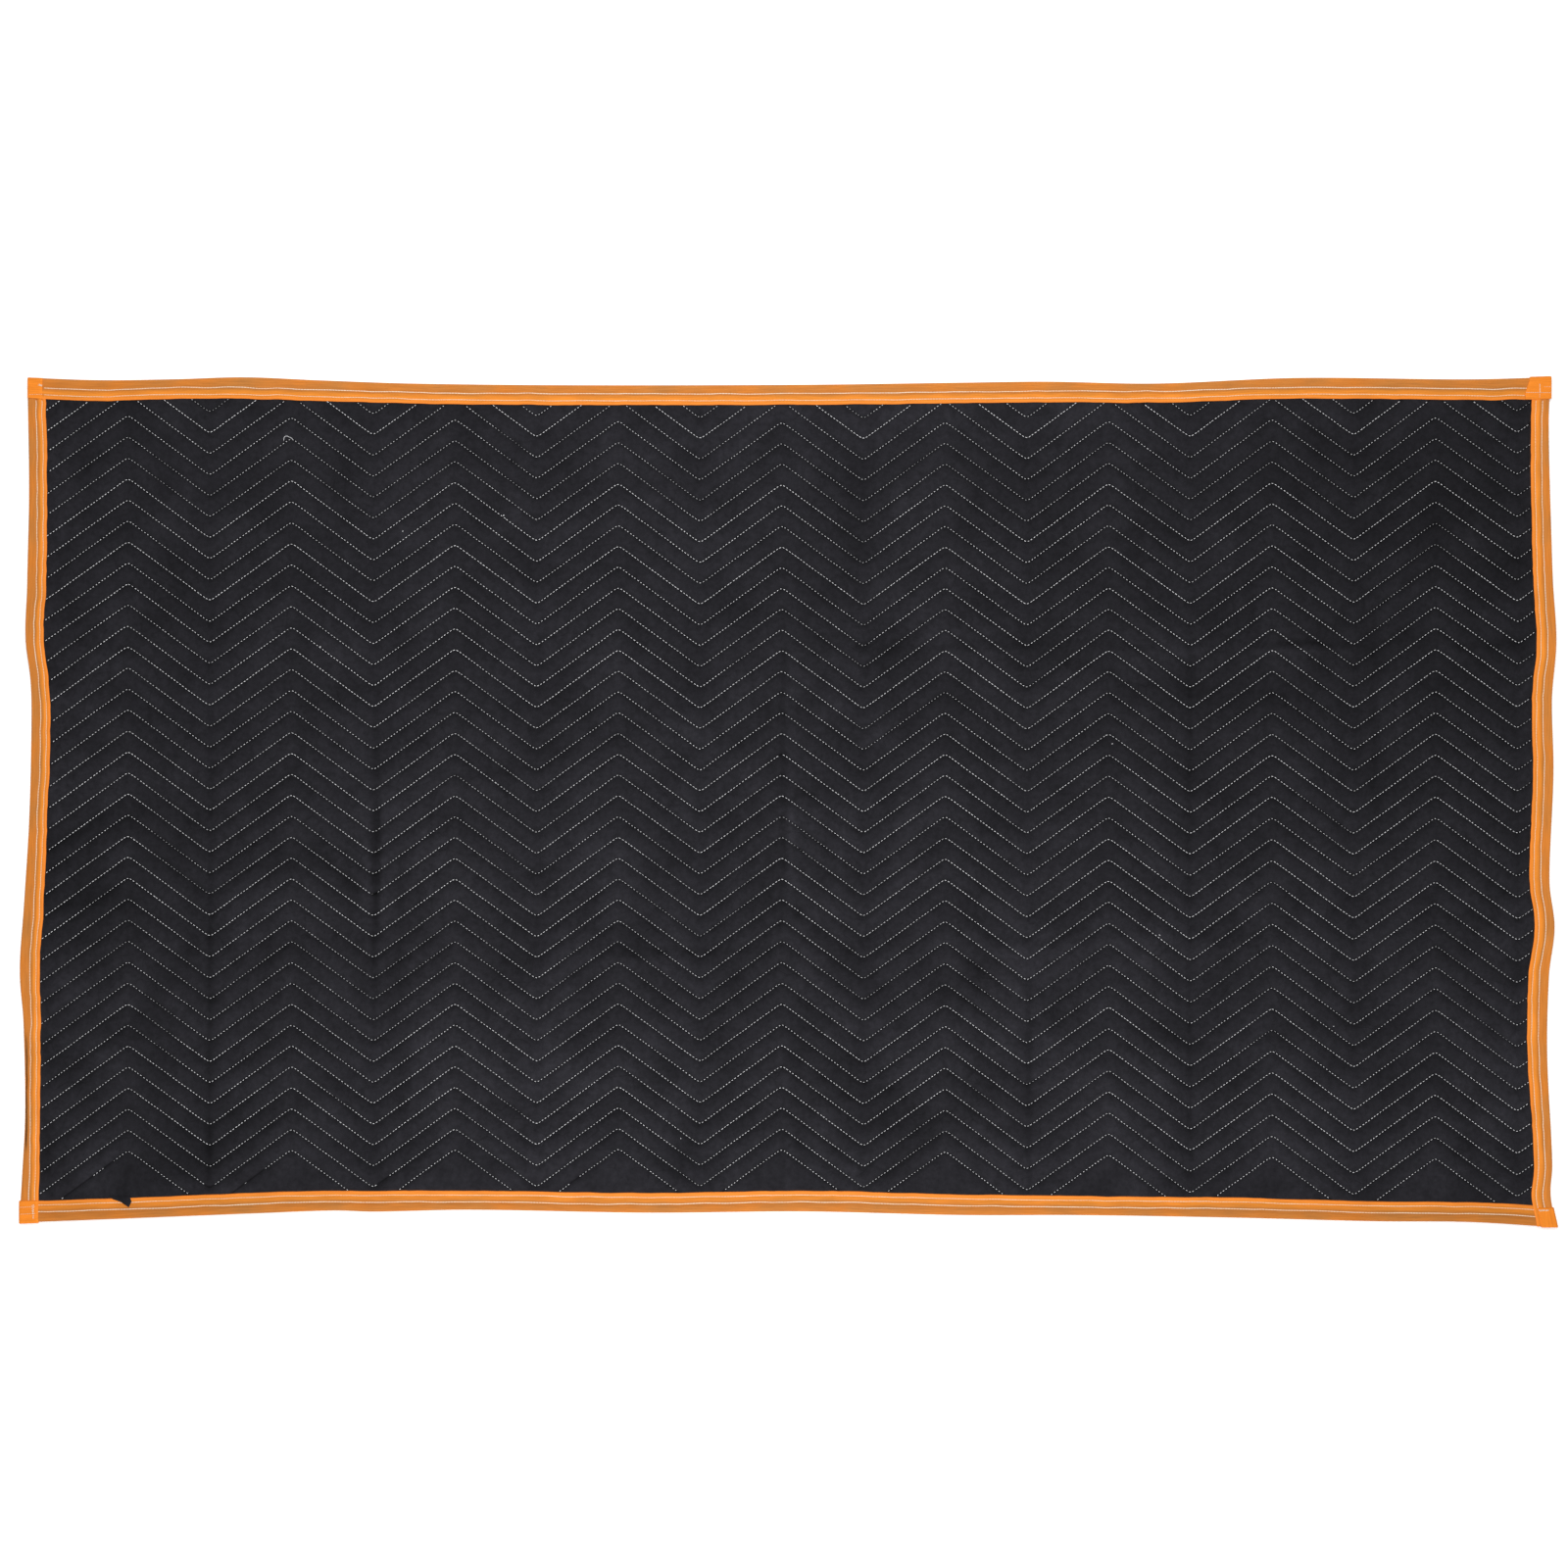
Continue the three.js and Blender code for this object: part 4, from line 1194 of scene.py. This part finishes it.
def tape_cloth():
    """Orange ribbed tape. Its outer band lies browner, and its folded ends brighter."""
    s = Shading("tape_cloth")
    along, from_hem, band = s.attribute("along"), s.attribute("from_hem"), s.attribute("band")
    worn = s.attribute("worn")
    at = s.pair(along, from_hem)
    streaks = s.lumps(0.0016, (0.05, 1.0, 1.0), detail=3.0, place=at)
    patches = s.lumps(0.055, (1.0, 2.0, 1.0), detail=2.0, place=at)
    browner = s.colour(s.ramp(patches, 0.3, 0.72), rgb(0.46, 0.171, 0.034), rgb(0.58, 0.176, 0.02))
    inner = s.colour(s.ramp(patches, 0.3, 0.7), rgb(0.6, 0.195, 0.017), rgb(0.66, 0.205, 0.02))
    shadowed = s.scaled(browner, s.ramp(from_hem, 12, 23, 0.88, 1.04))
    # the bands darker on some tapes, the near one most, by the number set for each side
    dulled = s.scaled(shadowed, s.ramp(worn, 0, 1, 1, 0.72))
    bands = s.colour(s.ramp(band, 0, 1), dulled, s.scaled(inner, s.ramp(worn, 0, 1, 1.06, 0.84)))
    hemmed = s.colour(s.ramp(from_hem, 0.5, 4.2), rgb(0.7, 0.195, 0.022), bands)
    base = s.colour(s.ramp(band, 1, CAP_BAND), hemmed, rgb(0.7, 0.2, 0.015))
    base = s.scaled(base, s.ramp(streaks, 0.25, 0.75, 0.82, 1.14))
    ribs = s.threads(0.00115, "Y", at)
    picks = s.threads(0.0007, "X", at)
    ribbed = s.bump(s.math("MULTIPLY_ADD", picks, 0.35, ribs), 0.00012, 0.7)
    s.set(
        Base_Color=base,
        Roughness=0.62,
        Specular_IOR_Level=0.12,
        Sheen_Weight=0.03,
        Normal=s.bump(streaks, 0.0005, 0.5, ribbed),
    )
    return s.material


def thread(name, dull, bright):
    """Twisted sewing thread. Its tone says how much of it shows clear of the cloth."""
    s = Shading(name)
    tone = s.attribute("tone")
    ply = s.threads(0.0006, "DIAGONAL")
    s.set(
        Base_Color=s.scaled(s.colour(tone, dull, bright), s.ramp(ply, 0, 1, 0.85, 1.05)),
        Roughness=0.55,
        Specular_IOR_Level=0.3,
        Normal=s.bump(ply, 0.0001, 0.6),
    )
    return s.material


def pale_floor():
    s = Shading("pale_floor")
    faint = s.ramp(s.lumps(0.5), 0, 1, 0.98, 1.0)
    s.set(Base_Color=s.scaled(rgb(0.95, 0.95, 0.95), faint), Roughness=0.9)
    return s.material


# Floor, camera and light

CAMERA_PLACE = (-4.68, 21.55, 2606.8)
WORLD_LIGHT = 0.46
FLOOR_SIZE = 40
FLOOR_CLEARANCE = 0.0003

# A soft light low over the near edge, and a larger one high over the far half
LIGHTS = (
    # name, place and aim and size in metres, watts, whether it casts shadows
    ("key", (-0.05, -1.7, 1.2), (0, 0.4, 1.25), 0.8, 50, False),
    ("fill", (0.0, 1.3, 2.1), (0, 0.6, 0), 1.6, 52, True),
)


def floor(material):
    bpy.ops.mesh.primitive_plane_add(size=FLOOR_SIZE, location=(0, 0, -FLOOR_CLEARANCE))
    made = bpy.context.object
    made.name = "floor"
    made.data.materials.append(material)


def camera():
    data = bpy.data.cameras.new("camera")
    data.lens = 50
    data.sensor_width = 36
    made = bpy.data.objects.new("camera", data)
    x, y, z = CAMERA_PLACE
    made.location = ((x - ORIGIN_X) * MM, (y - ORIGIN_Y) * MM, z * MM)
    bpy.context.scene.collection.objects.link(made)
    bpy.context.scene.camera = made


def lights():
    world = bpy.data.worlds.new("world")
    world.use_nodes = True
    background = world.node_tree.nodes["Background"]
    background.inputs["Color"].default_value = rgb(1, 1, 1)
    background.inputs["Strength"].default_value = WORLD_LIGHT
    bpy.context.scene.world = world
    for name, place, aim, size, watts, shadows in LIGHTS:
        data = bpy.data.lights.new(name, "AREA")
        data.size = size
        data.energy = watts
        data.use_shadow = shadows
        lamp = bpy.data.objects.new(name, data)
        lamp.location = place
        lamp.rotation_euler = (Vector(aim) - Vector(place)).to_track_quat("-Z", "Y").to_euler()
        bpy.context.scene.collection.objects.link(lamp)


# The whole pad

black, orange = quilt_cloth(), tape_cloth()
quilt_white = thread("quilt_thread", rgb(0.03, 0.03, 0.032), rgb(0.83, 0.83, 0.85))
tape_white = thread("tape_thread_cotton", rgb(0.7, 0.3, 0.1), rgb(0.7, 0.54, 0.4))

panel = panel_mesh(black)
threads = quilting_threads(quilt_white)
tongue = pleat_tongue(black)
loop = thread_loop(quilt_white)
bits = lint(quilt_white)
bound = tapes(orange)
tape_rows = tape_threads(tape_white)

for piece in (panel, *threads, tongue, loop, bits, *bound.values(), tape_rows):
    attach(piece, "root")
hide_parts("quilted_panel")
for side in SIDES:
    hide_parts("binding_" + side.name)

floor(pale_floor())
camera()
lights()
bpy.context.scene.view_settings.view_transform = "Standard"
